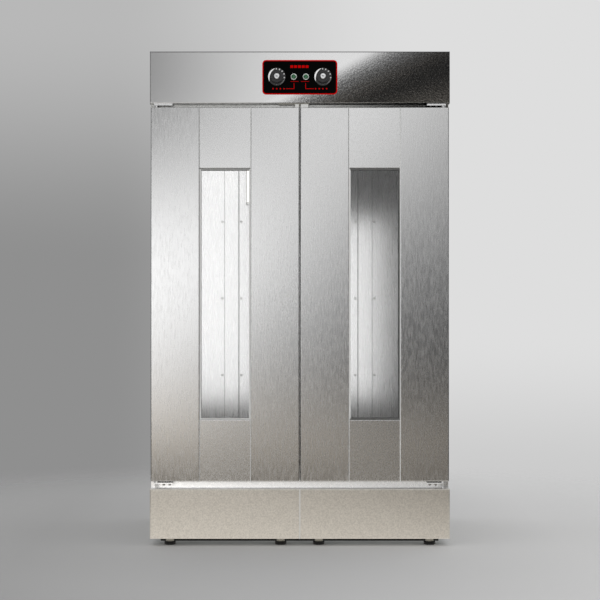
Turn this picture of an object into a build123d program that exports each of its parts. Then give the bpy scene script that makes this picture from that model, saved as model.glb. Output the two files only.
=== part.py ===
"""Upright two-door dough proofer: a stainless cabinet on eight screw feet.

Millimetres. +Z is up, the doors face -Y, and the origin is the middle of the floor area it covers.
Each function below makes one group of pieces and saves every sub-part to its own file.
"""

import os

from build123d import *

# Overall size
WIDTH = 1000.0
HEIGHT = 1650.0
BODY_DEPTH = 720.0  # header and base, front to back
KNOB_PROJECTION = 24.0  # dial knobs, out of the header's front
GLAND_PROJECTION = 12.0  # cable gland, out of the header's back

# Heights, from the floor up; the doors take what is left
FOOT_HEIGHT = 25.0
BASE_HEIGHT = 166.0
LEDGE_GAP = 25.0  # base to door bottom, room for fingers and the bottom hinges
HEADER_GAP = 13.0  # door top to header
HEADER_HEIGHT = 173.0

# Sheet metal
SKIN = 1.2  # outer sheets
LINER = 1.0  # inner sheets
FOLD_DEPTH = 20.0  # returns of the base fronts and the header fascia
BEND_RADIUS = 3.0  # outside radius of the folded front edges
PANEL_RETURN = 25.0  # side panel's rear fold, which the back panel is screwed to
BACK_SCREW_INSET = 14.0  # to the back panel's edges
BACK_SCREW_PITCH = 250.0  # greatest distance between two screws
BASE_SEAM = 0.8  # slit between the two base fronts

# Doors
DOOR_SIDE_INSET = 2.5
DOOR_SETBACK = 2.0  # door front, behind the header's front
DOOR_THICKNESS = 40.0
DOOR_STANDOFF = 10.0  # door back to the face frame, filled by the seal
MEETING_GAP = 3.0
WINDOW_WIDTH = 170.0
TOP_RAIL = 204.0
BOTTOM_RAIL = 206.0
RAIL_STEP = 1.0  # rail faces lie this far behind the stile faces
RAIL_SEAM = 0.8
GLASS = 4.0
GASKET_WIDTH = 5.0
GASKET_DEPTH = 10.0
GASKET_GRIP = 3.0  # how far the glass reaches into its gasket
GLAZING_SETBACK = 4.0  # front gasket, behind the door front
SEAL_WIDTH = 16.0
SEAL_GAP = 0.3  # seal to the face frame, door closed
SEAL_INSET = 2.0  # seal to the door's top and bottom edges
SEAL_MEETING_INSET = 2.5  # seal to the door's meeting edge

# Hinges: one pin at each outer door corner
PIVOT_INSET = 20.0  # pin to the cabinet's side
PIVOT_DEPTH = 20.0  # pin behind the door front
PIN_RADIUS = 5.0
PIN_GAP = 0.05  # pin to its bush
PIN_END_GAP = 2.0  # pin's end to the bush's inner end
BUSH_RADIUS = 8.0
BUSH_SEAT_GAP = 0.05
BUSH_LENGTH = 16.0
KNUCKLE_RADIUS = 7.5
KNUCKLE_GAP = 0.3
LEAF_LENGTH = 55.0
LEAF_SCREW_INSET = 12.0
LEAF_SCREW_PITCH = 20.0
LEAF_MARGIN = 13.0  # leaf past the pin, towards the front
BOTTOM_LEAF = 3.0
BOTTOM_LEAF_DROP = 5.0  # door bottom to the leaf's top
FLANGE_CLEARANCE = 4.0  # bottom bracket's flange to the base
TOP_LEAF = 6.0
POST_RADIUS = 3.0

# Door catch
CATCH_LEFT = -71.0  # ends of the mounting strip
CATCH_RIGHT = 30.0
CATCH_THICKNESS = 3.0
CATCH_DEPTH = 30.0
MAGNET_DEPTH = 24.0
MAGNET_RISE = 0.8  # magnets over the keepers' feet
MAGNET_LENGTH = 16.0
MAGNET_GAP = 0.3
KEEPER_SHEET = 2.0
KEEPER_SETBACK = 3.5  # keeper front, behind the door front
KEEPER_TOP_GAP = 2.5
KEEPER_FOOT = 12.5
KEEPER_INSET = 2.0  # keeper to the door's meeting edge
LEFT_KEEPER_LENGTH = 12.0
RIGHT_KEEPER_LENGTH = 25.0

# Chamber
SIDE_WALL = 30.0  # outer skin to inner face
BACK_WALL = 30.0
ROOF_WALL = 34.0
FLOOR_WALL = 46.0
FRAME_SIDE = 40.0  # face frame strips
FRAME_TOP = 42.0
MULLION_WIDTH = 44.0
MULLION_DEPTH = 40.0
TUBE_WALL = 1.5

# Tray rack
POST_WIDTH = 25.0
FRONT_POST_SETBACK = 50.0  # face frame to the front posts
REAR_POST_SETBACK = 86.0  # back liner to the rear posts
RUNNER_LEDGE = 25.0
RUNNER_LEG = 18.0
RUNNER_SHEET = 1.5
RUNNER_LENGTH = 600.0
RUNNER_FRONT_GAP = 17.0  # face frame to the runners' front ends
FIRST_LEVEL = 60.0  # chamber floor to the first ledge
LEVEL_PITCH = 88.0
LAST_LEVEL = 60.0  # least room over the top ledge

# Air ducts on the chamber's back wall, and the lamp beside one
DUCT_WIDTH = 51.0
DUCT_DEPTH = 18.0
DUCT_FLANGE = 22.0
DUCT_END_GAP = 10.0
DUCT_SCREW_PITCH = 287.0
DUCT_SCREW_OFFSET = 35.5
DUCT_SCREW_DROP = 12.7  # middle row, below the chamber's middle
LAMP_X = -184.0
LAMP_LENGTH = 250.0
LAMP_TOP_GAP = 16.0
LAMP_WIDTH = 22.0
LAMP_BASE = 8.0
LAMP_TUBE_RADIUS = 8.0

# Steam pan and heating elements
PAN_LENGTH = 400.0
PAN_WIDTH = 280.0
PAN_DEPTH = 100.0
PAN_RIM = 12.0
PAN_Y = 20.0
PAN_FIT = 1.0
PLENUM_MARGIN = 28.0
ELEMENT_RADIUS = 4.5
ELEMENT_HOLE_GAP = 0.1
BOSS_RADIUS = 9.0
BOSS_LENGTH = 6.0
WATER_ELEMENT_HALF = 60.0
WATER_ELEMENT_HEIGHT = 25.0  # over the pan's bottom
WATER_ELEMENT_FRONT_GAP = 50.0
AIR_ELEMENT_HALF = 90.0
AIR_ELEMENT_HEIGHT = 24.0  # over the base
AIR_ELEMENT_BACK_GAP = 32.0  # pan to the rising legs
ELEMENT_TAIL = 25.0
ELEMENT_BEND = 18.0
STEAM_SLOT_LENGTH = 130.0
STEAM_SLOT_WIDTH = 8.0
STEAM_SLOT_PITCH = 30.0
STEAM_SLOTS = 9
STEAM_SLOT_X = 90.0

# Header: control panel, dials, lamps, terminal block and gland
PANEL_WIDTH = 250.0
PANEL_HEIGHT = 115.0
PANEL_CORNER = 12.8
PANEL_THICKNESS = 3.0
DIAL_X = 77.0
DIAL_RAISE = 1.5  # dials and lamps over the panel's middle
SKIRT_RADIUS = 29.75
SKIRT_HEIGHT = 3.0
SKIRT_GAP = 0.8
GRIP_RADIUS = 21.5
GRIP_SCALLOPS = 8
SCALLOP_RADIUS = 5.0
SCALLOP_DEPTH = 1.6
KNOB_EDGE = 1.2
CAP_RADIUS = 10.0
CAP_SEAT = 2.0
CAP_STAND = 1.5
SPINDLE_RADIUS = 3.0
SPINDLE_GAP = 0.05
SPINDLE_IN_KNOB = 12.0
SPINDLE_IN_BODY = 14.0
SPINDLE_END_GAP = 1.0
NOSE_RADIUS = 5.0
NOSE_GAP = 0.2
THERMOSTAT_SIZE = 42.0
THERMOSTAT_DEPTH = 30.0
BLADE_WIDTH = 6.0
BLADE_LENGTH = 8.0
BLADE_SHEET = 0.8
LAMP_DIAL_X = 20.3
BEZEL_RADIUS = 10.5
BEZEL_HEIGHT = 3.0
BEZEL_BARREL = 8.0
BEZEL_DEPTH = 30.0
LENS_RADIUS = 6.5
LENS_STAND = 1.5
LENS_FIT = 0.05
BLOCK_X = 250.0
BLOCK_Y = 150.0
BLOCK_LENGTH = 90.0
BLOCK_WIDTH = 22.0
BLOCK_HEIGHT = 18.0
BLOCK_WAYS = 6
BLOCK_WAY_WIDTH = 9.0
BLOCK_WAY_DEPTH = 6.0
WIRE_RADIUS = 3.0
WIRE_BEND = 30.0
LEFT_WIRE_RUN = 140.0  # dial's wire, straight back before it drops
RIGHT_WIRE_RUN = 80.0
GLAND_X = 400.0
GLAND_RAISE = 80.0  # over the header's bottom
GLAND_BARREL = 10.0
GLAND_NUT = 13.0
GLAND_BORE = 5.0
GLAND_INSIDE = 14.0

# Fasteners and feet
SCREW_HEAD_RADIUS = 4.5
SCREW_HEAD_HEIGHT = 2.2
SCREW_RADIUS = 2.0
SCREW_HOLE_RADIUS = 2.1
FOOT_SIDE_INSET = 64.0  # outer feet to the sides, inner feet to the seam
FOOT_SETBACK = 50.0  # to the front and back
PAD_RADIUS = 19.5
PAD_HEIGHT = 12.0
PAD_EDGE = 1.5
COLLAR_RADIUS = 15.0
STUD_RADIUS = 5.0
STUD_GAP = 0.05
STUD_LENGTH = 45.0
BOTTOM_PLATE = 2.0
WELD_NUT_RADIUS = 10.0
WELD_NUT_HEIGHT = 10.0

# Planes worked out from the sizes above
X_SIDE = WIDTH / 2
Y_FRONT = (KNOB_PROJECTION - BODY_DEPTH - GLAND_PROJECTION) / 2
Y_BACK = Y_FRONT + BODY_DEPTH
Y_FOLD = Y_FRONT + FOLD_DEPTH
Z_BASE = FOOT_HEIGHT
Z_LEDGE = Z_BASE + BASE_HEIGHT
Z_HEADER = HEIGHT - HEADER_HEIGHT
Z_DOOR = Z_LEDGE + LEDGE_GAP
Z_DOOR_TOP = Z_HEADER - HEADER_GAP
Y_DOOR = Y_FRONT + DOOR_SETBACK
Y_DOOR_BACK = Y_DOOR + DOOR_THICKNESS
Y_FRAME = Y_DOOR_BACK + DOOR_STANDOFF
X_CHAMBER = X_SIDE - SIDE_WALL
Y_CHAMBER = Y_BACK - BACK_WALL
Z_CHAMBER = Z_LEDGE + FLOOR_WALL
Z_CHAMBER_TOP = Z_HEADER - ROOF_WALL
Z_FRAME_TOP = Z_HEADER - FRAME_TOP
X_PIVOT = X_SIDE - PIVOT_INSET
Y_PIVOT = Y_DOOR + PIVOT_DEPTH
Z_PANEL = Z_HEADER + HEADER_HEIGHT / 2
Z_DIAL = Z_PANEL + DIAL_RAISE
Y_PANEL = Y_FRONT - PANEL_THICKNESS
FLANGE_SPAN = LEDGE_GAP - BOTTOM_LEAF_DROP - FLANGE_CLEARANCE
MAGNET_HEIGHT = HEADER_GAP - CATCH_THICKNESS - SKIN - MAGNET_RISE
KEEPER_HEIGHT = HEADER_GAP - KEEPER_TOP_GAP
PIN_REACH = BUSH_LENGTH - PIN_END_GAP
LEVELS = int((Z_CHAMBER_TOP - LAST_LEVEL - Z_CHAMBER - FIRST_LEVEL) / LEVEL_PITCH) + 1


def block(x0, x1, y0, y1, z0, z1):
    """A rectangular solid between two corners."""
    return Pos((x0 + x1) / 2, (y0 + y1) / 2, (z0 + z1) / 2) * Box(x1 - x0, y1 - y0, z1 - z0)


def front_edges(shape, open_sides):
    """The edges round a block's front face, less those on an open side."""
    edges = shape.edges().group_by(Axis.Y)[0]
    if "-x" in open_sides:
        return edges.filter_by(Axis.X)
    return edges


def folded(x0, x1, y0, y1, z0, z1, sheet, open_sides, bend=0.0):
    """A folded sheet: a block hollowed to its thickness, open on the sides named, as in "+y".

    bend is the outside radius of the folds round its front face."""
    outside = block(x0, x1, y0, y1, z0, z1)
    low, high = [x0, y0, z0], [x1, y1, z1]
    for axis, letter in enumerate("xyz"):
        low[axis] += 0.0 if "-" + letter in open_sides else sheet
        high[axis] -= 0.0 if "+" + letter in open_sides else sheet
    inside = block(low[0], high[0], low[1], high[1], low[2], high[2])
    if bend:
        outside = fillet(front_edges(outside, open_sides), bend)
    if bend > sheet:
        inside = fillet(front_edges(inside, open_sides), bend - sheet)
    return outside - inside


def rod(direction, radius, centre, start, end):
    """A round bar along x, y or z; centre holds its other two coordinates in X, Y, Z order."""
    bar = Cylinder(radius, end - start)
    middle = (start + end) / 2
    if direction == "x":
        return Pos(middle, *centre) * Rot(0, 90, 0) * bar
    if direction == "y":
        return Pos(centre[0], middle, centre[1]) * Rot(90, 0, 0) * bar
    return Pos(*centre, middle) * bar


def frame_of(x0, x1, y0, y1, z0, z1, rim):
    """A flat rectangular ring facing Y."""
    return block(x0, x1, y0, y1, z0, z1) - block(x0 + rim, x1 - rim, y0, y1, z0 + rim, z1 - rim)


def tube_along(points, radius, bend):
    """A round tube's solid along straight runs with rounded corners."""
    path = FilletPolyline(*points, radius=bend)
    return sweep(Plane(origin=path @ 0, z_dir=path % 0) * Circle(radius), path=path)


def flipped(shape):
    """The same piece on the other side of the cabinet."""
    return mirror(shape, about=Plane.YZ)


def both_sides(shape):
    return [shape, flipped(shape)]


def screw(place, outward, shank):
    """A pan-head screw: its head on the surface at place, its shank going in."""
    head = Pos(0, 0, SCREW_HEAD_HEIGHT / 2) * Cylinder(SCREW_HEAD_RADIUS, SCREW_HEAD_HEIGHT)
    head = fillet(head.edges().sort_by(Axis.Z)[-1], SCREW_HEAD_HEIGHT * 0.8)
    body = head + rod("z", SCREW_RADIUS, (0, 0), -shank, 0)
    return Plane(origin=place, z_dir=outward).location * body


def save(node, *pieces):
    """Write one sub-part's solids to its own file."""
    solids = [solid for piece in pieces for solid in piece.solids()]
    export_step(Compound(solids), f"parts/{node}.step")


def foot_places():
    """Name and place of each foot: two under each base half, front and back."""
    outer, inner = X_SIDE - FOOT_SIDE_INSET, FOOT_SIDE_INSET
    rows = {"front": Y_FRONT + FOOT_SETBACK, "rear": Y_BACK - FOOT_SETBACK}
    for row, y in rows.items():
        for number, x in enumerate((-outer, -inner, inner, outer), start=1):
            yield f"foot_{row}_{number}", x, y


def make_feet():
    for name, x, y in foot_places():
        pad = rod("z", PAD_RADIUS, (x, y), 0, PAD_HEIGHT)
        pad = chamfer(pad.edges().group_by(Axis.Z)[0], PAD_EDGE)
        collar = rod("z", COLLAR_RADIUS, (x, y), PAD_HEIGHT, FOOT_HEIGHT)
        stud = rod("z", STUD_RADIUS, (x, y), FOOT_HEIGHT, FOOT_HEIGHT + STUD_LENGTH)
        save(name, pad, collar + stud)


def pan_box(extra, z0, z1):
    """The steam pan's outline grown by extra on its four sides."""
    half = PAN_LENGTH / 2 + extra
    y0, y1 = PAN_Y - PAN_WIDTH / 2 - extra, PAN_Y + PAN_WIDTH / 2 + extra
    return block(-half, half, y0, y1, z0, z1)


def air_element_y():
    return PAN_Y + PAN_WIDTH / 2 + AIR_ELEMENT_BACK_GAP


def make_base():
    front = folded(-X_SIDE, -BASE_SEAM / 2, Y_FRONT, Y_FOLD, Z_BASE, Z_LEDGE, SKIN, ["+y"],
                   BEND_RADIUS)
    save("base_front_left", front)
    save("base_front_right", flipped(front))
    save("base_casing", folded(-X_SIDE, X_SIDE, Y_FOLD, Y_BACK, Z_BASE, Z_LEDGE - SKIN, SKIN,
                               ["-y", "-z", "+z"]))

    inner = X_SIDE - SKIN
    bottom = block(-inner, inner, Y_FOLD, Y_BACK - SKIN, Z_BASE, Z_BASE + BOTTOM_PLATE)
    nut_top = Z_BASE + BOTTOM_PLATE + WELD_NUT_HEIGHT
    for _, x, y in foot_places():
        bottom += rod("z", WELD_NUT_RADIUS, (x, y), Z_BASE + BOTTOM_PLATE, nut_top)
    for _, x, y in foot_places():
        bottom -= rod("z", STUD_RADIUS + STUD_GAP, (x, y), Z_BASE, nut_top)
    save("base_bottom_plate", bottom)

    deck = block(-X_SIDE, X_SIDE, Y_FOLD, Y_BACK, Z_LEDGE - SKIN, Z_LEDGE)
    deck -= pan_box(PAN_FIT, Z_LEDGE - SKIN, Z_LEDGE)
    for x in (-AIR_ELEMENT_HALF, AIR_ELEMENT_HALF):
        deck -= rod("z", ELEMENT_RADIUS + ELEMENT_HOLE_GAP, (x, air_element_y()), Z_LEDGE - SKIN, Z_LEDGE)
    save("base_deck", deck)


def make_steam_pan():
    bottom = Z_LEDGE - PAN_DEPTH
    rear = PAN_Y + PAN_WIDTH / 2
    pan = pan_box(0, bottom, Z_LEDGE + LINER) + pan_box(PAN_RIM, Z_LEDGE, Z_LEDGE + LINER)
    pan -= pan_box(-LINER, bottom + LINER, Z_LEDGE + LINER)
    leg_z = bottom + WATER_ELEMENT_HEIGHT
    for x in (-WATER_ELEMENT_HALF, WATER_ELEMENT_HALF):
        pan -= rod("y", ELEMENT_RADIUS + ELEMENT_HOLE_GAP, (x, leg_z), rear - LINER, rear)
    save("water_pan", pan)

    half, tail = WATER_ELEMENT_HALF, rear + ELEMENT_TAIL
    front = PAN_Y - PAN_WIDTH / 2 + WATER_ELEMENT_FRONT_GAP
    water = tube_along([(-half, tail, leg_z), (-half, front, leg_z), (half, front, leg_z),
                        (half, tail, leg_z)], ELEMENT_RADIUS, ELEMENT_BEND)
    for x in (-half, half):
        water += rod("y", BOSS_RADIUS, (x, leg_z), rear, rear + BOSS_LENGTH)

    half, back, top = AIR_ELEMENT_HALF, air_element_y(), Z_LEDGE + AIR_ELEMENT_HEIGHT
    low = Z_LEDGE - ELEMENT_TAIL
    air = tube_along([(-half, back, low), (-half, back, top), (-half, front, top), (half, front, top),
                      (half, back, top), (half, back, low)], ELEMENT_RADIUS, ELEMENT_BEND)
    for x in (-half, half):
        air += rod("z", BOSS_RADIUS, (x, back), Z_LEDGE, Z_LEDGE + BOSS_LENGTH)
    save("heating_elements", water, air)


def hinge_screw_xs():
    """Two screws along each left hinge leaf, clear of the pin."""
    inner_end = -X_PIVOT + LEAF_LENGTH
    return (inner_end - LEAF_SCREW_INSET, inner_end - LEAF_SCREW_INSET - LEAF_SCREW_PITCH)


def hinge_flange_z():
    return Z_LEDGE + FLANGE_CLEARANCE + (FLANGE_SPAN - BOTTOM_LEAF) / 2


def duct_x():
    """Each duct stands behind the middle of its door's window."""
    door_width = X_SIDE - DOOR_SIDE_INSET - MEETING_GAP / 2
    return MEETING_GAP / 2 + door_width / 2


def duct_screw_places():
    """Rows of two screws down each duct cover, counted from just below the chamber's middle."""
    middle = (Z_CHAMBER + Z_CHAMBER_TOP) / 2 - DUCT_SCREW_DROP
    rows = int((middle - Z_CHAMBER - DUCT_END_GAP) / DUCT_SCREW_PITCH)
    for row in range(-rows, rows + 1):
        for offset in (-DUCT_SCREW_OFFSET, DUCT_SCREW_OFFSET):
            yield -duct_x() + offset, middle + row * DUCT_SCREW_PITCH


def back_screw_places():
    """Screws down the left edge of the back panel, evenly spaced."""
    low, high = Z_LEDGE + BACK_SCREW_INSET, Z_HEADER - BACK_SCREW_INSET
    gaps = int((high - low) / BACK_SCREW_PITCH) + 1
    for number in range(gaps + 1):
        yield -X_SIDE + SKIN + BACK_SCREW_INSET, low + (high - low) * number / gaps


def make_shell():
    skin_inside = X_SIDE - SKIN
    return_front = Y_BACK - 2 * SKIN
    side = block(-X_SIDE, -skin_inside, Y_FRAME + SKIN, Y_BACK, Z_LEDGE, Z_HEADER)
    side += block(-skin_inside, -skin_inside + PANEL_RETURN, return_front, Y_BACK - SKIN, Z_LEDGE, Z_HEADER)
    back = block(-skin_inside, skin_inside, Y_BACK - SKIN, Y_BACK, Z_LEDGE, Z_HEADER)
    for place in back_screw_places():
        hole = rod("y", SCREW_HOLE_RADIUS, place, return_front, Y_BACK)
        side -= hole
        back -= both_sides(hole)
    save("side_panel_left", side)
    save("side_panel_right", flipped(side))
    save("back_panel", back)

    liner_out, back_out = X_CHAMBER + LINER, Y_CHAMBER + LINER
    front, foam_back = Y_FRAME + SKIN, Y_BACK - SKIN
    side_foam = block(-skin_inside, -liner_out, front, return_front, Z_LEDGE, Z_HEADER)
    back_foam = block(-liner_out, liner_out, back_out, foam_back, Z_LEDGE, Z_HEADER)
    roof_foam = block(-liner_out, liner_out, front, back_out, Z_CHAMBER_TOP + LINER, Z_HEADER)
    floor_foam = block(-liner_out, liner_out, front, back_out, Z_LEDGE, Z_CHAMBER - LINER)
    plenum = pan_box(PLENUM_MARGIN, Z_LEDGE, Z_CHAMBER)
    plenum += block(-AIR_ELEMENT_HALF - PLENUM_MARGIN, AIR_ELEMENT_HALF + PLENUM_MARGIN, PAN_Y,
                    air_element_y() + PLENUM_MARGIN, Z_LEDGE, Z_CHAMBER)
    save("insulation", *both_sides(side_foam), back_foam, roof_foam, floor_foam - plenum)

    side_liner = block(-liner_out, -X_CHAMBER, front, back_out, Z_CHAMBER - LINER, Z_CHAMBER_TOP)
    back_liner = block(-X_CHAMBER, X_CHAMBER, Y_CHAMBER, back_out, Z_CHAMBER - LINER, Z_CHAMBER_TOP)
    for x, z in duct_screw_places():
        back_liner -= both_sides(rod("y", SCREW_HOLE_RADIUS, (x, z), Y_CHAMBER, back_out))
    ceiling = block(-liner_out, liner_out, front, back_out, Z_CHAMBER_TOP, Z_CHAMBER_TOP + LINER)
    save("chamber_liner", *both_sides(side_liner), back_liner, ceiling)

    floor = block(-X_CHAMBER, X_CHAMBER, front, Y_CHAMBER, Z_CHAMBER - LINER, Z_CHAMBER)
    for number in range(STEAM_SLOTS):
        y = PAN_Y + (number - (STEAM_SLOTS - 1) / 2) * STEAM_SLOT_PITCH
        slot = Plane.XY.offset(Z_CHAMBER - LINER) * Pos(-STEAM_SLOT_X, y) \
            * SlotOverall(STEAM_SLOT_LENGTH, STEAM_SLOT_WIDTH)
        floor -= both_sides(extrude(slot, LINER))
    save("chamber_floor", floor)


def make_face_frame():
    half = MULLION_WIDTH / 2
    back = Y_FRAME + SKIN
    side = block(-X_SIDE, -X_SIDE + FRAME_SIDE, Y_FRAME, back, Z_CHAMBER, Z_FRAME_TOP)
    bottom = block(-X_SIDE, X_SIDE, Y_FRAME, back, Z_LEDGE, Z_CHAMBER)
    for x in hinge_screw_xs():
        bottom -= both_sides(rod("y", SCREW_HOLE_RADIUS, (x, hinge_flange_z()), Y_FRAME, back))
    top = block(-X_SIDE, X_SIDE, Y_FRAME, back, Z_FRAME_TOP, Z_HEADER)
    middle = block(-half, half, Y_FRAME, back, Z_CHAMBER, Z_FRAME_TOP)
    save("face_frame", *both_sides(side), bottom, top, middle)
    save("centre_mullion", folded(-half, half, back, back + MULLION_DEPTH, Z_CHAMBER, Z_CHAMBER_TOP,
                                  TUBE_WALL, ["-z", "+z"]))


def make_rack():
    half = MULLION_WIDTH / 2
    outer = X_CHAMBER - POST_WIDTH
    posts = []
    front_y = Y_FRAME + FRONT_POST_SETBACK
    rear_y = Y_CHAMBER - REAR_POST_SETBACK - POST_WIDTH
    for y in (front_y, rear_y):
        ends = (y, y + POST_WIDTH, Z_CHAMBER, Z_CHAMBER_TOP, TUBE_WALL, ["-z", "+z"])
        posts += both_sides(folded(-X_CHAMBER, -outer, *ends))
        posts.append(folded(-half, half, *ends))
    save("rack_posts", *posts)

    runners = []
    y0 = Y_FRAME + RUNNER_FRONT_GAP
    y1 = y0 + RUNNER_LENGTH
    for level in range(LEVELS):
        top = Z_CHAMBER + FIRST_LEVEL + level * LEVEL_PITCH
        for wall, inward in ((-outer, 1), (-half, -1)):
            leg = sorted((wall, wall + inward * RUNNER_SHEET))
            ledge = sorted((wall, wall + inward * RUNNER_LEDGE))
            runner = block(*leg, y0, y1, top - RUNNER_LEG, top)
            runner += block(*ledge, y0, y1, top - RUNNER_SHEET, top)
            runners += both_sides(runner)
    save("tray_runners", *runners)


def make_chamber_fittings():
    x, half = -duct_x(), DUCT_WIDTH / 2
    z0, z1 = Z_CHAMBER + DUCT_END_GAP, Z_CHAMBER_TOP - DUCT_END_GAP
    cover = folded(x - half, x + half, Y_CHAMBER - DUCT_DEPTH, Y_CHAMBER, z0, z1, LINER,
                   ["+y", "-z", "+z"])
    for start in (x - half - DUCT_FLANGE, x + half):
        cover += block(start, start + DUCT_FLANGE, Y_CHAMBER - LINER, Y_CHAMBER, z0, z1)
    screws = []
    for screw_x, z in duct_screw_places():
        cover -= rod("y", SCREW_HOLE_RADIUS, (screw_x, z), Y_CHAMBER - LINER, Y_CHAMBER)
        screws += both_sides(screw((screw_x, Y_CHAMBER - LINER, z), (0, -1, 0), 2 * LINER))
    save("duct_covers", *both_sides(cover))

    flange_front = Y_FRAME - BOTTOM_LEAF
    for screw_x in hinge_screw_xs():
        low = (screw_x, flange_front, hinge_flange_z())
        high = (screw_x, Y_PIVOT, Z_HEADER - TOP_LEAF)
        screws += both_sides(screw(low, (0, -1, 0), BOTTOM_LEAF + SKIN))
        screws += both_sides(screw(high, (0, 0, -1), TOP_LEAF + SKIN))
    for screw_x, z in back_screw_places():
        screws += both_sides(screw((screw_x, Y_BACK, z), (0, 1, 0), 2 * SKIN))
    save("pan_head_screws", *screws)

    lamp_top = Z_CHAMBER_TOP - LAMP_TOP_GAP
    lamp_bottom, holder = lamp_top - LAMP_LENGTH, LAMP_WIDTH / 2
    lamp_y = Y_CHAMBER - LAMP_BASE
    base = block(LAMP_X - holder, LAMP_X + holder, lamp_y, Y_CHAMBER, lamp_bottom, lamp_top)
    for z in (lamp_bottom, lamp_top - holder):
        base += block(LAMP_X - LAMP_TUBE_RADIUS, LAMP_X + LAMP_TUBE_RADIUS, lamp_y - 2 * LAMP_TUBE_RADIUS,
                      lamp_y, z, z + holder)
    tube = rod("z", LAMP_TUBE_RADIUS, (LAMP_X, lamp_y - LAMP_TUBE_RADIUS), lamp_bottom + holder,
               lamp_top - holder)
    save("chamber_lamp", base, tube)


def make_hinge_brackets():
    x0, x1 = -X_PIVOT - KNUCKLE_RADIUS, -X_PIVOT + LEAF_LENGTH
    y0 = Y_PIVOT - LEAF_MARGIN
    pivot = (-X_PIVOT, Y_PIVOT)

    top = Z_DOOR - BOTTOM_LEAF_DROP
    low = block(x0, x1, y0, Y_FRAME, top - BOTTOM_LEAF, top)
    low += block(x0, x1, Y_FRAME - BOTTOM_LEAF, Y_FRAME, Z_LEDGE + FLANGE_CLEARANCE, top)
    low += rod("z", KNUCKLE_RADIUS, pivot, top, Z_DOOR - KNUCKLE_GAP)
    low += rod("z", PIN_RADIUS, pivot, top, Z_DOOR + PIN_REACH)
    low += rod("z", POST_RADIUS, pivot, Z_LEDGE, top)
    for x in hinge_screw_xs():
        low -= rod("y", SCREW_HOLE_RADIUS, (x, hinge_flange_z()), Y_FRAME - BOTTOM_LEAF, Y_FRAME)

    high = block(x0, x1, y0, Y_FRAME - BOTTOM_LEAF, Z_HEADER - TOP_LEAF, Z_HEADER)
    high += rod("z", KNUCKLE_RADIUS, pivot, Z_DOOR_TOP + KNUCKLE_GAP, Z_HEADER - TOP_LEAF)
    high += rod("z", PIN_RADIUS, pivot, Z_DOOR_TOP - PIN_REACH, Z_HEADER - TOP_LEAF)
    for x in hinge_screw_xs():
        high -= rod("z", SCREW_HOLE_RADIUS, (x, Y_PIVOT), Z_HEADER - TOP_LEAF, Z_HEADER)
    save("hinge_brackets", *both_sides(low), *both_sides(high))


def keeper_spans():
    """Where the two keepers lie along X, left then right, each beside its door's meeting edge."""
    edge = MEETING_GAP / 2 + KEEPER_INSET
    return (-edge - LEFT_KEEPER_LENGTH, -edge), (edge, edge + RIGHT_KEEPER_LENGTH)


def make_door_catch():
    y0 = Y_DOOR + KEEPER_SETBACK + KEEPER_SHEET + MAGNET_GAP
    strip_bottom = Z_HEADER - CATCH_THICKNESS
    strip = block(CATCH_LEFT, CATCH_RIGHT, y0, y0 + CATCH_DEPTH, strip_bottom, Z_HEADER)
    magnets = []
    for start, end in keeper_spans():
        middle = (start + end) / 2
        magnets.append(block(middle - MAGNET_LENGTH / 2, middle + MAGNET_LENGTH / 2, y0,
                             y0 + MAGNET_DEPTH, strip_bottom - MAGNET_HEIGHT, strip_bottom))
    save("door_catch", strip, *magnets)


def make_header():
    fascia = folded(-X_SIDE, X_SIDE, Y_FRONT, Y_FOLD, Z_HEADER, HEIGHT, SKIN, ["+y"], BEND_RADIUS)
    panel = extrude(Plane.XZ.offset(-Y_FRONT) * Pos(0, Z_PANEL)
                    * RectangleRounded(PANEL_WIDTH, PANEL_HEIGHT, PANEL_CORNER), PANEL_THICKNESS)
    sheet_back = Y_FRONT + SKIN
    for x, radius in ((-DIAL_X, NOSE_RADIUS + NOSE_GAP), (-LAMP_DIAL_X, BEZEL_BARREL + NOSE_GAP)):
        holes = both_sides(rod("y", radius, (x, Z_DIAL), Y_PANEL, sheet_back))
        fascia -= holes
        panel -= holes
    save("header_fascia", fascia)
    save("control_panel", panel)

    cover = folded(-X_SIDE, X_SIDE, Y_FOLD, Y_BACK, Z_HEADER + SKIN, HEIGHT, SKIN, ["-y", "-z"])
    gland = (GLAND_X, Z_HEADER + GLAND_RAISE)
    cover -= rod("y", GLAND_BARREL + NOSE_GAP, gland, Y_BACK - SKIN, Y_BACK)
    save("header_cover", cover)
    roof = block(-X_SIDE, X_SIDE, Y_FOLD, Y_BACK, Z_HEADER, Z_HEADER + SKIN)
    for x in hinge_screw_xs():
        roof -= both_sides(rod("z", SCREW_HOLE_RADIUS, (x, Y_PIVOT), Z_HEADER, Z_HEADER + SKIN))
    save("roof_panel", roof)

    nut = extrude(Plane.XZ.offset(-Y_BACK) * Pos(*gland) * RegularPolygon(GLAND_NUT, 6), -GLAND_PROJECTION)
    inner_nut = extrude(Plane.XZ.offset(SKIN - Y_BACK) * Pos(*gland) * RegularPolygon(GLAND_NUT, 6),
                        BOSS_LENGTH)
    barrel = rod("y", GLAND_BARREL, gland, Y_BACK - GLAND_INSIDE, Y_BACK)
    bore = rod("y", GLAND_BORE, gland, Y_BACK - GLAND_INSIDE, Y_BACK + GLAND_PROJECTION)
    save("cable_gland", nut + inner_nut + barrel - bore)


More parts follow.
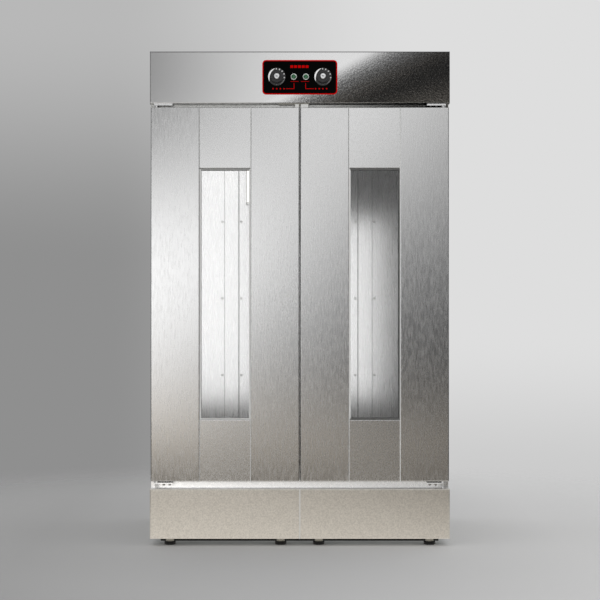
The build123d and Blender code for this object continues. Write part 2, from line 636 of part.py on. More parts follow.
def make_indicators():
    front = Y_PANEL - BEZEL_HEIGHT
    back = front + BEZEL_DEPTH
    place = (-LAMP_DIAL_X, Z_DIAL)
    bezel = rod("y", BEZEL_RADIUS, place, front, Y_PANEL)
    bezel = fillet(bezel.edges().group_by(Axis.Y)[0], BEZEL_HEIGHT / 3)
    bezel += rod("y", BEZEL_BARREL, place, Y_PANEL, back)
    bezel -= rod("y", LENS_RADIUS + LENS_FIT, place, front, back)
    lens = rod("y", LENS_RADIUS, place, front - LENS_STAND, back)
    lens = fillet(lens.edges().group_by(Axis.Y)[0], LENS_STAND)
    save("indicator_bezels", *both_sides(bezel))
    save("indicator_lenses", *both_sides(lens))


def make_thermostats():
    sheet_back = Y_FRONT + SKIN
    half = THERMOSTAT_SIZE / 2
    body_back = sheet_back + THERMOSTAT_DEPTH
    body = block(-DIAL_X - half, -DIAL_X + half, sheet_back, body_back, Z_DIAL - half, Z_DIAL + half)
    body += rod("y", NOSE_RADIUS, (-DIAL_X, Z_DIAL), Y_PANEL, sheet_back)
    body -= rod("y", SPINDLE_RADIUS + SPINDLE_GAP, (-DIAL_X, Z_DIAL), Y_PANEL,
                sheet_back + SPINDLE_IN_BODY)
    for z in (Z_DIAL - half / 2, Z_DIAL + half / 2):
        body += block(-DIAL_X - BLADE_WIDTH / 2, -DIAL_X + BLADE_WIDTH / 2, body_back,
                      body_back + BLADE_LENGTH, z - BLADE_SHEET / 2, z + BLADE_SHEET / 2)
    save("thermostats", *both_sides(body))


def make_knobs():
    skirt_back = Y_PANEL - SKIRT_GAP
    skirt_front = skirt_back - SKIRT_HEIGHT
    knob_front = Y_FRONT - KNOB_PROJECTION + CAP_STAND
    place = (-DIAL_X, Z_DIAL)
    skirt = rod("y", SKIRT_RADIUS, place, skirt_front, skirt_back)
    skirt = chamfer(skirt.edges().group_by(Axis.Y)[0], KNOB_EDGE)
    grip = rod("y", GRIP_RADIUS, place, knob_front, skirt_front)
    grip = fillet(grip.edges().group_by(Axis.Y)[0], KNOB_EDGE)
    ring = GRIP_RADIUS + SCALLOP_RADIUS - SCALLOP_DEPTH
    notch = Pos(ring, 0, 0) * Cylinder(SCALLOP_RADIUS, skirt_front - knob_front)
    around = Pos(-DIAL_X, (knob_front + skirt_front) / 2, Z_DIAL) * Rot(90, 0, 0)
    for number in range(GRIP_SCALLOPS):
        grip -= around * Rot(0, 0, 360 * (number + 0.5) / GRIP_SCALLOPS) * notch
    spindle_front = skirt_back - SPINDLE_IN_KNOB
    knob = skirt + grip
    knob -= rod("y", SPINDLE_RADIUS + SPINDLE_GAP / 2, place, spindle_front, skirt_back)
    knob -= rod("y", CAP_RADIUS, place, knob_front, knob_front + CAP_SEAT)
    cap = rod("y", CAP_RADIUS, place, knob_front - CAP_STAND, knob_front + CAP_SEAT)
    cap = fillet(cap.edges().group_by(Axis.Y)[0], CAP_STAND * 0.8)
    spindle_back = Y_FRONT + SKIN + SPINDLE_IN_BODY - SPINDLE_END_GAP
    spindle = rod("y", SPINDLE_RADIUS, place, spindle_front, spindle_back)
    for side, turn in (("left", lambda shape: shape), ("right", flipped)):
        save(f"knob_{side}", turn(knob), turn(spindle))
        save(f"knob_{side}_cap", turn(cap))


def make_wiring():
    """The terminal block on the header's floor, and the wires from it to the dials and the gland."""
    floor = Z_HEADER + SKIN
    half = BLOCK_LENGTH / 2
    terminal = block(BLOCK_X - half, BLOCK_X + half, BLOCK_Y - BLOCK_WIDTH / 2,
                     BLOCK_Y + BLOCK_WIDTH / 2, floor, floor + BLOCK_HEIGHT)
    pitch = BLOCK_LENGTH / BLOCK_WAYS
    way_xs = [BLOCK_X - half + pitch * (way + 0.5) for way in range(BLOCK_WAYS)]
    top = floor + BLOCK_HEIGHT
    for x in way_xs:
        terminal -= block(x - BLOCK_WAY_WIDTH / 2, x + BLOCK_WAY_WIDTH / 2, BLOCK_Y - BLOCK_WIDTH / 2,
                          BLOCK_Y + BLOCK_WIDTH / 2, top - BLOCK_WAY_DEPTH, top)
    save("terminal_block", terminal)

    run_z = top - BLOCK_WAY_DEPTH + WIRE_RADIUS
    blade_y = Y_FRONT + SKIN + THERMOSTAT_DEPTH + BLADE_LENGTH
    front_y = BLOCK_Y - BLOCK_WIDTH / 2
    back_y = BLOCK_Y + BLOCK_WIDTH / 2
    wires = []
    for x, way_x, run in ((-DIAL_X, way_xs[0], LEFT_WIRE_RUN), (DIAL_X, way_xs[1], RIGHT_WIRE_RUN)):
        turn_y = blade_y + run
        wires.append(tube_along([(x, blade_y, Z_DIAL), (x, turn_y, Z_DIAL), (x, turn_y, run_z),
                                 (way_x, turn_y, run_z), (way_x, front_y, run_z)], WIRE_RADIUS, WIRE_BEND))
    gland_z = Z_HEADER + GLAND_RAISE
    turn_y = (back_y + Y_BACK - GLAND_INSIDE) / 2
    wires.append(tube_along([(way_xs[-1], back_y, run_z), (way_xs[-1], turn_y, run_z),
                             (GLAND_X, turn_y, run_z), (GLAND_X, turn_y, gland_z),
                             (GLAND_X, Y_BACK - GLAND_INSIDE, gland_z)], WIRE_RADIUS, WIRE_BEND))
    save("wiring_loom", *wires)


def make_door(side, keeper_length, turn):
    """One door, laid out on the left and turned over for the right."""
    x0, x1 = -X_SIDE + DOOR_SIDE_INSET, -MEETING_GAP / 2
    stile = (x1 - x0 - WINDOW_WIDTH) / 2
    window_x0, window_x1 = x0 + stile, x1 - stile
    window_z0, window_z1 = Z_DOOR + BOTTOM_RAIL, Z_DOOR_TOP - TOP_RAIL
    pan_back = Y_DOOR_BACK - LINER
    bush_spans = ((Z_DOOR, Z_DOOR + BUSH_LENGTH), (Z_DOOR_TOP - BUSH_LENGTH, Z_DOOR_TOP))
    pivot = (-X_PIVOT, Y_PIVOT)
    bush_seats = [rod("z", BUSH_RADIUS + BUSH_SEAT_GAP, pivot, *span) for span in bush_spans]

    hinge_stile = folded(x0, window_x0, Y_DOOR, pan_back, Z_DOOR, Z_DOOR_TOP, SKIN, ["+y"], BEND_RADIUS)
    meeting_stile = folded(window_x1, x1, Y_DOOR, pan_back, Z_DOOR, Z_DOOR_TOP, SKIN, ["+y"], BEND_RADIUS)
    save(f"door_{side}_hinge_stile", turn(hinge_stile - bush_seats))
    save(f"door_{side}_meeting_stile", turn(meeting_stile))

    rail_x0, rail_x1, rail_y = window_x0 + RAIL_SEAM, window_x1 - RAIL_SEAM, Y_DOOR + RAIL_STEP
    rails, cores = [], []
    for z0, z1 in ((Z_DOOR, window_z0), (window_z1, Z_DOOR_TOP)):
        rails.append(turn(folded(rail_x0, rail_x1, rail_y, pan_back, z0, z1, SKIN, ["+y", "-x", "+x"],
                                 BEND_RADIUS)))
        core = block(rail_x0, rail_x1, rail_y + SKIN, pan_back, z0 + SKIN, z1 - SKIN)
        cores.append(turn(fillet(core.edges().group_by(Axis.Y)[0].filter_by(Axis.X), BEND_RADIUS - SKIN)))
    for start, end in ((x0, window_x0), (window_x1, x1)):
        core = block(start + SKIN, end - SKIN, Y_DOOR + SKIN, pan_back, Z_DOOR + SKIN, Z_DOOR_TOP - SKIN)
        core = fillet(core.edges().group_by(Axis.Y)[0], BEND_RADIUS - SKIN)
        cores.append(turn(core - bush_seats))
    save(f"door_{side}_rails", *rails)
    save(f"door_{side}_core", *cores)

    inner = block(x0, x1, pan_back, Y_DOOR_BACK, Z_DOOR, Z_DOOR_TOP)
    inner -= block(window_x0 + GASKET_WIDTH, window_x1 - GASKET_WIDTH, pan_back, Y_DOOR_BACK,
                   window_z0 + GASKET_WIDTH, window_z1 - GASKET_WIDTH)
    save(f"door_{side}_inner_panel", turn(inner))

    reach = GASKET_WIDTH - GASKET_GRIP
    window = (window_x0, window_x1, window_z0, window_z1)
    panes, seals = [], []
    for gasket_y in (Y_DOOR + GLAZING_SETBACK, pan_back - GASKET_DEPTH):
        pane_y = gasket_y + (GASKET_DEPTH - GLASS) / 2
        pane = block(window[0] + reach, window[1] - reach, pane_y, pane_y + GLASS,
                     window[2] + reach, window[3] - reach)
        gasket = frame_of(window[0], window[1], gasket_y, gasket_y + GASKET_DEPTH,
                          window[2], window[3], GASKET_WIDTH)
        panes.append(turn(pane))
        seals.append(turn(gasket - pane))
    save(f"door_{side}_glass", *panes)

    seal_x0, seal_x1 = -X_PIVOT, x1 - SEAL_MEETING_INSET
    seal_z0, seal_z1 = Z_DOOR + SEAL_INSET, Z_DOOR_TOP - SEAL_INSET
    depth = (Y_DOOR_BACK, Y_FRAME - SEAL_GAP)
    for start in (seal_x0, seal_x1 - SEAL_WIDTH):
        seals.append(turn(block(start, start + SEAL_WIDTH, *depth, seal_z0, seal_z1)))
    for start in (seal_z0, seal_z1 - SEAL_WIDTH):
        seals.append(turn(block(seal_x0 + SEAL_WIDTH, seal_x1 - SEAL_WIDTH, *depth, start,
                                start + SEAL_WIDTH)))
    save(f"door_{side}_seals", *seals)

    fittings = []
    for span in bush_spans:
        bush = rod("z", BUSH_RADIUS, pivot, *span) - rod("z", PIN_RADIUS + PIN_GAP, pivot, *span)
        fittings.append(turn(bush))
    keeper_x1 = x1 - KEEPER_INSET
    keeper_y = Y_DOOR + KEEPER_SETBACK
    keeper = block(keeper_x1 - keeper_length, keeper_x1, keeper_y, keeper_y + KEEPER_SHEET,
                   Z_DOOR_TOP, Z_DOOR_TOP + KEEPER_HEIGHT)
    keeper += block(keeper_x1 - keeper_length, keeper_x1, keeper_y, keeper_y + KEEPER_FOOT,
                    Z_DOOR_TOP, Z_DOOR_TOP + SKIN)
    save(f"door_{side}_fittings", *fittings, turn(keeper))


def main():
    os.makedirs("parts", exist_ok=True)
    make_feet()
    make_base()
    make_steam_pan()
    make_shell()
    make_face_frame()
    make_rack()
    make_chamber_fittings()
    make_hinge_brackets()
    make_door_catch()
    make_header()
    make_indicators()
    make_thermostats()
    make_knobs()
    make_wiring()
    make_door("left", LEFT_KEEPER_LENGTH, lambda shape: shape)
    make_door("right", RIGHT_KEEPER_LENGTH, flipped)


main()
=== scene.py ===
# %% [markdown]
# # An upright dough proofer
# The real thing is a tall cabinet of thin stainless sheet. Two glazed doors close a warm, damp
# chamber, and a header over them holds two dials and two lamps. The CAD model already has every
# folded sheet at its true size, so this lesson loads it as a fixed frame, gives each sheet the finish
# that its maker gave it, and models again only the small parts whose shape the eye reads closely:
# the panel, dials, lamps, rubber seals, screws, feet and cable gland.

# %% Load the fixed frame
import math
from contextlib import contextmanager

import bmesh
import bpy
from mathutils import Matrix, Vector


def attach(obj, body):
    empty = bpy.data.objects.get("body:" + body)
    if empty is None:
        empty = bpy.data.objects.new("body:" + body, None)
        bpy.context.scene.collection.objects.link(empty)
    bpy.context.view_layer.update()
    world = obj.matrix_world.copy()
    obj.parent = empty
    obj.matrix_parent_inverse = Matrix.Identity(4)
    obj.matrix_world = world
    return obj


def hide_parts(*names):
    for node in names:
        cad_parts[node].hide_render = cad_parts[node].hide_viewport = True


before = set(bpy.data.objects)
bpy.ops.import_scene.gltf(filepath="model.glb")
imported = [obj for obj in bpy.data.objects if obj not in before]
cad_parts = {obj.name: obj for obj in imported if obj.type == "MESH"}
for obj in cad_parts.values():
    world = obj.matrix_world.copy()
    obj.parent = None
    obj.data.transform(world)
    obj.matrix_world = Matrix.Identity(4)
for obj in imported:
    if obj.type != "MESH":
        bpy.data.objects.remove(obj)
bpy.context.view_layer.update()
MM = 0.001

# %% [markdown]
# Blender counts in metres and in linear light. A maker's data sheet has millimetres, and colour
# charts have sRGB codes, so a small helper keeps the colours in those everyday units. Two more wire
# a shader node's sockets and add nodes to a tree, which is all that a material is made of.

# %% Colour and node helpers
def linear(code):
    """The linear RGBA of an sRGB hex code such as C9C9C7."""
    channels = [int(code[i:i + 2], 16) / 255 for i in (0, 2, 4)]
    return tuple(c / 12.92 if c <= 0.04045 else ((c + 0.055) / 1.055) ** 2.4 for c in channels) + (1,)


def wire(node, inputs):
    """Sets sockets to values or sRGB codes, or links them to a socket or a node's first output in use."""
    for key, value in inputs.items():
        if isinstance(value, str):
            value = linear(value)
        if isinstance(value, bpy.types.Node):
            value = next(socket for socket in value.outputs if socket.enabled)
        if isinstance(value, bpy.types.NodeSocket):
            node.id_data.links.new(value, node.inputs[key])
        else:
            node.inputs[key].default_value = value


# Two settings that many nodes share.
COLOUR, SMOOTH = {"data_type": "RGBA"}, {"interpolation_type": "SMOOTHSTEP"}


def adder(tree):
    """The function that adds nodes to one tree."""
    def add(kind, inputs=None, **settings):
        """A new shader node with its settings and its wired sockets."""
        node = tree.nodes.new("ShaderNode" + kind)
        for name, value in settings.items():
            setattr(node, name, value)
        wire(node, inputs or {})
        return node
    return add


def new_material(name, colour, roughness, **sockets):
    """A material, the function that adds nodes to it, its Principled shader and the object's coordinates."""
    material = bpy.data.materials.new(name)
    material.use_nodes = True
    shader = material.node_tree.nodes["Principled BSDF"]
    wire(shader, {"Base Color": colour, "Roughness": roughness})
    wire(shader, {key.replace("_", " "): value for key, value in sockets.items()})
    add = adder(material.node_tree)
    return material, add, shader, add("TexCoord").outputs["Object"]


print("white is", [round(c, 2) for c in linear("FFFFFF")], "and mid grey is", round(linear("808080")[0], 3))

# %% [markdown]
# ## Sheet steel
# All the sheets are 18/8 stainless steel, and what differs is the finish. A belt sander leaves long
# scratches, a roller leaves fine even pits, and a bead blast leaves a soft mottle. In a shader each is
# one noise, stretched to the length and width of its marks, which tips the normal a little and makes
# the sheet a little rougher or smoother. A metal's colour is its reflection's tint, so it stays pale.
# The real scratches are a tenth of a millimetre wide, so the marks here are drawn as coarse as they
# need to be to show from across a room.

# %% A function for one steel finish
NOISE_LOW, NOISE_HIGH = 0.3, 0.7  # nearly all of a noise's values lie between these


def steel(name, colour, roughness, mark, depth, spread=0.06, anisotropy=0.0, fleck=0.08, metallic=1.0):
    """mark: width, depth and height of one mark in mm. depth: how deep it is, in mm. fleck: how dark."""
    material, add, shader, place = new_material(name, colour, roughness, Metallic=metallic,
                                                Anisotropic=anisotropy)
    scaled = add("Mapping", {"Vector": place, "Scale": [1 / (m * MM) for m in mark]})
    marks = add("TexNoise", {"Vector": scaled, "Scale": 1.0, "Detail": 3.0, "Roughness": 0.6})
    rough = add("MapRange", {"Value": marks, "From Min": NOISE_LOW, "From Max": NOISE_HIGH,
                             "To Min": roughness - spread, "To Max": roughness + spread})
    bump = add("Bump", {"Height": marks, "Distance": depth * MM})
    pits = add("MapRange", {"Value": marks, "From Min": NOISE_LOW, "From Max": NOISE_HIGH})
    darker = tuple(c * (1 - fleck) for c in linear(colour)[:3]) + (1,)
    tint = add("Mix", {"Factor": pits, "A": darker, "B": colour}, **COLOUR)
    wire(shader, {"Base Color": tint, "Roughness": rough, "Normal": bump})
    if anisotropy:
        wire(shader, {"Tangent": add("Tangent", direction_type="RADIAL", axis="Z")})
    return material


# Sanded upright on a belt: long scratches that smear each reflection from side to side.
STILE_STEEL = steel("stainless_belt_brushed_upright", "DADADA", 0.25, (4.5, 4.5, 30), 0.11,
                    anisotropy=0.4, fleck=0.14)
# Ground fine: short marks, so the rails look smoother than the stiles.
RAIL_STEEL = steel("stainless_fine_ground", "D8D8D8", 0.25, (4, 4, 6), 0.06)
# Blasted with glass beads: an even, slightly warm mottle that runs no way.
BASE_STEEL = steel("stainless_bead_blasted", "F0ECE5", 0.36, (4, 4, 4), 0.1, fleck=0.25)
# Satin sheet: brushed upright on the sides, and from front to back on the roof.
SIDE_STEEL = steel("stainless_satin_side", "D2D2D0", 0.36, (2.5, 2.5, 60), 0.06, anisotropy=0.4)
ROOF_STEEL = steel("stainless_satin_roof", "D2D2D0", 0.36, (2.5, 60, 2.5), 0.06)
# The chamber's satin is finer, so that it wipes clean. It mirrors its lamps as soft bright fields.
LINER_STEEL = steel("stainless_liner_satin", "E5E5E5", 0.28, (2.5, 2.5, 70), 0.035, spread=0.04,
                    anisotropy=0.3, fleck=0.05)
# Small cut and folded parts keep the dull skin of the mill.
PLAIN_STEEL = steel("stainless_cut_parts", "D2D2D0", 0.3, (3, 3, 3), 0.04)
# The frame and the brackets are painted paler than the sheets round them, as painted light, so that
# the ledge between the base and the doors shows bright.
FRAME_STEEL = steel("stainless_bright_rolled", "F4F4F4", 0.3, (6, 6, 6), 0.03)
BRACKET_STEEL = steel("stainless_bright_pressed", "F4F4F4", 0.3, (3, 3, 3), 0.03)
# The weld beads are painted near white and matt: a painted highlight for the light that the folded
# edges catch at the joints.
WELD_HIGHLIGHT = steel("stainless_weld_painted_highlight", "FFFFFD", 0.4, (2, 2, 2), 0.02, fleck=0.04, metallic=0.08)
print("steel finishes:", [m.name for m in bpy.data.materials if m.name.startswith("stainless")])

# %% [markdown]
# A folded fascia is never quite flat. Bending its edges pulls the thin sheet into a bow, and on a fine
# roller finish that bow bends the reflections far more than the eye would guess. The bow here begins
# on a slanted line to the right of the panel and deepens with the square of the distance, as sheet
# does that is held along one side. It is drawn deeper than a real one, to show in a small studio.
# Stretching also opens the sheet's grain there, so the pits grow deeper along with the bow. They are
# painted darker too, which is painted shade on the right side, and the left side stays smooth. The last
# millimetres under the top fold are painted dark grey, a painted shadow line along the edge.

# %% The header fascia's own steel
HEADER_TINT = "D8D8D8"
BOW_X, BOW_Z = -0.085, 1.50  # a point on the line where the bow begins
BOW_SLANT = 1.95             # metres to the left for each metre up
BOW_DEPTH = 0.32             # metres deep, one metre past the line
# The open grain's share also sets how much painted shade darkens the right side.
GRAIN_OPENS_OVER = 0.16      # metres from smooth grain to open grain
SMOOTH_GRAIN = 0.06          # the smooth grain's share of the open grain's depth
FOLD_LINE = 1.6467           # the height where the sheet begins to fold


def parts_of(material):
    """The function that adds nodes to a steel, and the steel's shader, grain and tint."""
    tree = material.node_tree
    kinds = ("BSDF_PRINCIPLED", "BUMP", "MIX")
    return [adder(tree)] + [next(node for node in tree.nodes if node.type == kind) for kind in kinds]


HEADER_STEEL = steel("stainless_roller_finish", HEADER_TINT, 0.19, (5, 5, 5), 0.75, spread=0.03, fleck=0.6)
add, shader, grain, tint = parts_of(HEADER_STEEL)
place = add("SeparateXYZ", {0: add("TexCoord").outputs["Object"]})
right = add("Math", {0: place.outputs["X"], 1: BOW_X}, operation="SUBTRACT")
over = add("Math", {0: place.outputs["Z"], 1: BOW_Z}, operation="SUBTRACT")
past = add("Math", {0: over, 1: -BOW_SLANT, 2: right}, operation="MULTIPLY_ADD")
past = add("Math", {0: past, 1: 0.0}, operation="MAXIMUM")
fall = add("Math", {0: past, 1: 2.0}, operation="POWER")
bow = add("Bump", {"Height": fall, "Distance": BOW_DEPTH}, invert=True)
grain_and_painted_shade = add("MapRange", {"Value": past, "From Max": GRAIN_OPENS_OVER, "To Min": SMOOTH_GRAIN}, **SMOOTH)
wire(grain, {"Normal": bow, "Strength": grain_and_painted_shade})
# Painted shade: the pits darken as the grain opens on the right.
pale = add("Mix", {"Factor": grain_and_painted_shade, "A": HEADER_TINT, "B": tint}, **COLOUR)
# Painted shadow: above FOLD_LINE the fascia is painted dark grey.
folded = add("Math", {0: place.outputs["Z"], 1: FOLD_LINE}, operation="GREATER_THAN")
painted_edge_shadow = add("Mix", {"Factor": folded, "A": pale, "B": "6C6C6C"}, **COLOUR)
wire(shader, {"Base Color": painted_edge_shadow})
print("the fascia's right end leans", round(math.degrees(math.atan(2 * BOW_DEPTH * 0.4))), "degrees")

# %% [markdown]
# The face frame shows only as two narrow strips. The lower one, between the base and the doors, is
# rolled back a little so that drips run out, so it looks up into the light and shows almost white. The
# hinge brackets beside it lean with it. The upper strip, under the header, is pulled forward along its
# right half by the fascia's fold, so it looks down and shows dark. One height for each strip, summed,
# goes into a second Bump under the grain. The colour differs too: the frame's pale tint is painted
# light that keeps the lower strip bright, and the upper strip is painted a darker grey, as painted shade.

# %% The face frame's two strips lean
LOWER_TOP, LOWER_LEAN = 0.224, 0.08
UPPER_BOTTOM, UPPER_LEAN = 1.455, 0.75
UPPER_LEAN_FROM = -0.17  # the x where the upper strip begins to lean
STRIPS_PARTED_AT = 1.0   # a height between the two strips


def beyond(add, value, start):
    """How far a value lies beyond a start, and 0 before it."""
    past = add("Math", {0: value, 1: start}, operation="SUBTRACT")
    return add("Math", {0: past, 1: 0.0}, operation="MAXIMUM")


def lower_lean(add):
    """The height of a surface that leans back below LOWER_TOP and is upright above it."""
    place = add("SeparateXYZ", {0: add("TexCoord").outputs["Object"]})
    below = beyond(add, LOWER_TOP, place.outputs["Z"])
    return add("Math", {0: below, 1: LOWER_LEAN}, operation="MULTIPLY")


def lean(add, grain, height):
    """Puts a height, as a second Bump, under a steel's own grain."""
    wire(grain, {"Normal": add("Bump", {"Height": height, "Distance": 1.0})})


add, shader, grain, tint = parts_of(FRAME_STEEL)
place = add("SeparateXYZ", {0: add("TexCoord").outputs["Object"]})
below = lower_lean(add)
over = beyond(add, place.outputs["Z"], UPPER_BOTTOM)
right = beyond(add, place.outputs["X"], UPPER_LEAN_FROM)
right = add("Math", {0: right, 1: UPPER_LEAN}, operation="MULTIPLY")
lean(add, grain, add("Math", {0: over, 1: right, 2: below}, operation="MULTIPLY_ADD"))
# Painted shade: the upper strip, under the header, is painted a darker grey.
upper = add("Math", {0: place.outputs["Z"], 1: STRIPS_PARTED_AT}, operation="GREATER_THAN")
painted_shade_grey = add("Mix", {"Factor": upper, "A": tint, "B": "C4C4C2"}, **COLOUR)
wire(shader, {"Base Color": painted_shade_grey})

add, shader, grain, tint = parts_of(BRACKET_STEEL)
lean(add, grain, lower_lean(add))
print("the lower strip leans back", round(math.degrees(math.atan(LOWER_LEAN)), 1), "degrees")

# %% [markdown]
# ## Galvanised sheet
# The back and the base's bottom plate are mild steel dipped in molten zinc. The zinc freezes in flat
# crystals, the spangle, each about 10 mm across and each turned its own way, so one catches the light
# while its neighbour stays dull. Voronoi cells give each crystal its own tone and its own roughness.

# %% Galvanised sheet
SPANGLE = 10 * MM
GALVANISED, add, shader, place = new_material("galvanised_spangle", "B4B9BC", 0.42, Metallic=1.0)
crystals = add("TexVoronoi", {"Vector": place, "Scale": 1 / SPANGLE})
shade = add("SeparateColor", {0: crystals.outputs["Color"]})
tone = add("Mix", {"Factor": shade.outputs["Red"], "A": "A3A9AD", "B": "C6CACC"}, **COLOUR)
rough = add("MapRange", {"Value": shade.outputs["Green"], "To Min": 0.3, "To Max": 0.55})
relief = add("Bump", {"Height": crystals, "Distance": 0.05 * MM})
wire(shader, {"Base Color": tone, "Roughness": rough, "Normal": relief})
print("one crystal of the spangle:", round(SPANGLE / MM), "mm")

# %% [markdown]
# ## Rubber, plastics, plating and foam
# A moulded part takes the skin of its mould: spark erosion leaves a fine matt grain, polishing leaves
# gloss. Plating and gloss still carry faint smears from hands. So each of these finishes is one fine
# noise that moves the roughness and lifts a shallow bump, and a second, much broader one that drifts
# the colour between two near tones.

# %% A function for one grained finish
DRIFT = 14  # a patch of colour is this many grains across


def grained(name, dark, pale, roughness, size, depth, spread, **sockets):
    """size: one grain in mm. depth: its height in mm. spread: how far the roughness moves."""
    material, add, shader, place = new_material(name, dark, roughness, **sockets)
    grain = add("TexNoise", {"Vector": place, "Scale": 1 / (size * MM), "Detail": 3.0})
    drift = add("TexNoise", {"Vector": place, "Scale": 1 / (size * DRIFT * MM), "Detail": 2.0})
    tone = add("Mix", {"Factor": drift, "A": dark, "B": pale}, **COLOUR)
    rough = add("MapRange", {"Value": grain, "From Min": NOISE_LOW, "From Max": NOISE_HIGH,
                             "To Min": roughness - spread, "To Max": roughness + spread})
    relief = add("Bump", {"Height": grain, "Distance": depth * MM})
    wire(shader, {"Base Color": tone, "Roughness": rough, "Normal": relief})
    return material


# Extruded silicone: soft, slightly dusty, so it has no sharp highlight. The mid grey and the dark grey
# also serve as painted shade on some runs of the glazing strips.
GASKET_RUBBER = grained("silicone_extruded_pale", "F0F0EE", "FAFAF8", 0.55, 1.5, 0.05, 0.08)
SHADE_PAINTED_RUBBER = grained("silicone_painted_shade", "A6A6A4", "B6B6B4", 0.55, 1.5, 0.05, 0.08)
SEAL_RUBBER = grained("silicone_extruded_grey", "626261", "7A7A78", 0.55, 1.5, 0.05, 0.08)
# A near-black matt finish for the thin rods that are painted shadow along the duct covers' edges.
EDGE_SHADOW_PAINT = grained("painted_shadow_black", "262626", "323232", 0.5, 1.5, 0.05, 0.08)
# Polyurethane poured in place: open cells and a warm, dull yellow.
FOAM = grained("polyurethane_foam_poured", "D8C88F", "EBDDB0", 0.9, 2.0, 0.5, 0.05)
# Back-printed polycarbonate film over acrylic: deep black with a low, smooth sheen.
BLACK_ACRYLIC = grained("acrylic_filmed_black", "030303", "050505", 0.22, 6.0, 0.01, 0.06,
                        Specular_IOR_Level=0.02)
# Spark-eroded ABS: a fine grain that scatters the light to a soft grey sheen.
BLACK_ABS = grained("abs_moulded_grip", "19191A", "232325", 0.34, 0.8, 0.04, 0.06)
SKIRT_ABS = grained("abs_moulded_skirt", "151516", "1C1C1D", 0.22, 1.0, 0.02, 0.04)
BODY_ABS = grained("abs_moulded_body", "1A1A1C", "262628", 0.45, 1.0, 0.05, 0.08)
# Glass-filled nylon: dull, with scuffs that turn it grey.
NYLON = grained("nylon_glass_filled", "0C0C0D", "1C1C1D", 0.5, 1.6, 0.08, 0.1, Specular_IOR_Level=0.2)
# Chrome over brass: bright and smeared a little by fingers. Its faint green tint is a painted
# reflection of the green lens beside it.
CHROME = grained("chrome_plated_brass", "DDE8E0", "EEF4F0", 0.34, 3.0, 0.01, 0.05, Metallic=1.0)
# Zinc-plated steel, dulled by washing: a grey metal with a faint warm haze.
ZINC = grained("zinc_plated_steel", "8C8A83", "A09E97", 0.28, 1.2, 0.03, 0.08, Metallic=1.0)
# Vinyl wire sheath: smooth and a little waxy.
PVC = grained("vinyl_wire_sheath", "26262A", "34343A", 0.45, 2.0, 0.02, 0.06)
# Screen-printed ink: matt, and thin enough that the gloss under it still tells.
RED_INK = grained("ink_screen_red", "D60202", "E40606", 0.5, 1.0, 0.01, 0.05, Specular_IOR_Level=0.02)
WHITE_INK = grained("ink_screen_white", "F4F4F4", "FDFDFD", 0.4, 1.0, 0.01, 0.05)
# A mirror-bright silver, softened a little, for the painted highlight on each dial's skirt.
GLINT_SILVER = grained("painted_glint_silver", "F0F0F0", "FAFAFA", 0.3, 1.0, 0.01, 0.05, Metallic=1.0)
# The grey is the bottom dot's print and also the fainter painted highlight on each dial's skirt.
GREY_INK_AND_GLINT = grained("grey_ink_and_painted_glint", "6E6E6E", "8A8A8A", 0.4, 1.0, 0.01, 0.05)
DARK_INK = grained("ink_screen_dark", "30302F", "3C3C3B", 0.4, 1.0, 0.01, 0.05)
# Moulded acrylic lens: clear green, thick at its middle.
GREEN = grained("acrylic_moulded_green", "0B5A30", "13743F", 0.14, 2.0, 0.02, 0.04, Coat_Weight=0.4)
print("materials so far:", len(bpy.data.materials))

# %% [markdown]
# Three finishes need their own pattern. Float glass is nearly perfect, and what gives it away is a slow
# wave from the rollers; a coating on these panes weakens their mirror image. Opal glass glows evenly.
# Spun aluminium has fine rings about its own centre, which a distance from the dial's axis draws,
# folded over x = 0 so that one pattern serves both dials.

# %% Glass, opal and spun aluminium
WAVE, CLOUD, RING = 0.15, 0.02, 0.7 * MM
DIAL_CENTRE = (0.077, 0, 1.565)
GLASS, add, shader, place = new_material("float_glass_coated", "FEFEFE", 0.0, Transmission_Weight=1.0,
                                         IOR=1.5, Specular_IOR_Level=0.2)
wave = add("TexNoise", {"Vector": place, "Scale": 1 / WAVE, "Detail": 0.0})
wire(shader, {"Normal": add("Bump", {"Height": wave, "Distance": 0.05 * MM})})

OPAL, add, shader, place = new_material("opal_glass_lit", "F5F4EE", 0.3, Emission_Strength=1.6)
milk = add("TexNoise", {"Vector": place, "Scale": 1 / CLOUD, "Detail": 2.0})
tone = add("Mix", {"Factor": milk, "A": "EDEBE2", "B": "FFFFFB"}, **COLOUR)
wire(shader, {"Base Color": tone, "Emission Color": tone})

SPUN, add, shader, place = new_material("aluminium_spun_cap", "E2E3E4", 0.24, Metallic=1.0)
place = add("SeparateXYZ", {0: place})
folded = add("Math", {0: place.outputs["X"]}, operation="ABSOLUTE")
about = add("CombineXYZ", {"X": folded, "Z": place.outputs["Z"]})
reach = add("VectorMath", {0: about, 1: DIAL_CENTRE}, operation="DISTANCE")
rings = add("Math", {0: reach, 1: 2 * math.pi / RING}, operation="MULTIPLY")
rings = add("Math", {0: rings}, operation="SINE")
lathe = add("Bump", {"Height": rings, "Distance": 0.015 * MM})
rough = add("MapRange", {"Value": rings, "From Min": -1.0, "To Min": 0.2, "To Max": 0.3})
wire(shader, {"Roughness": rough, "Normal": lathe})
print("materials with the last three:", len(bpy.data.materials))

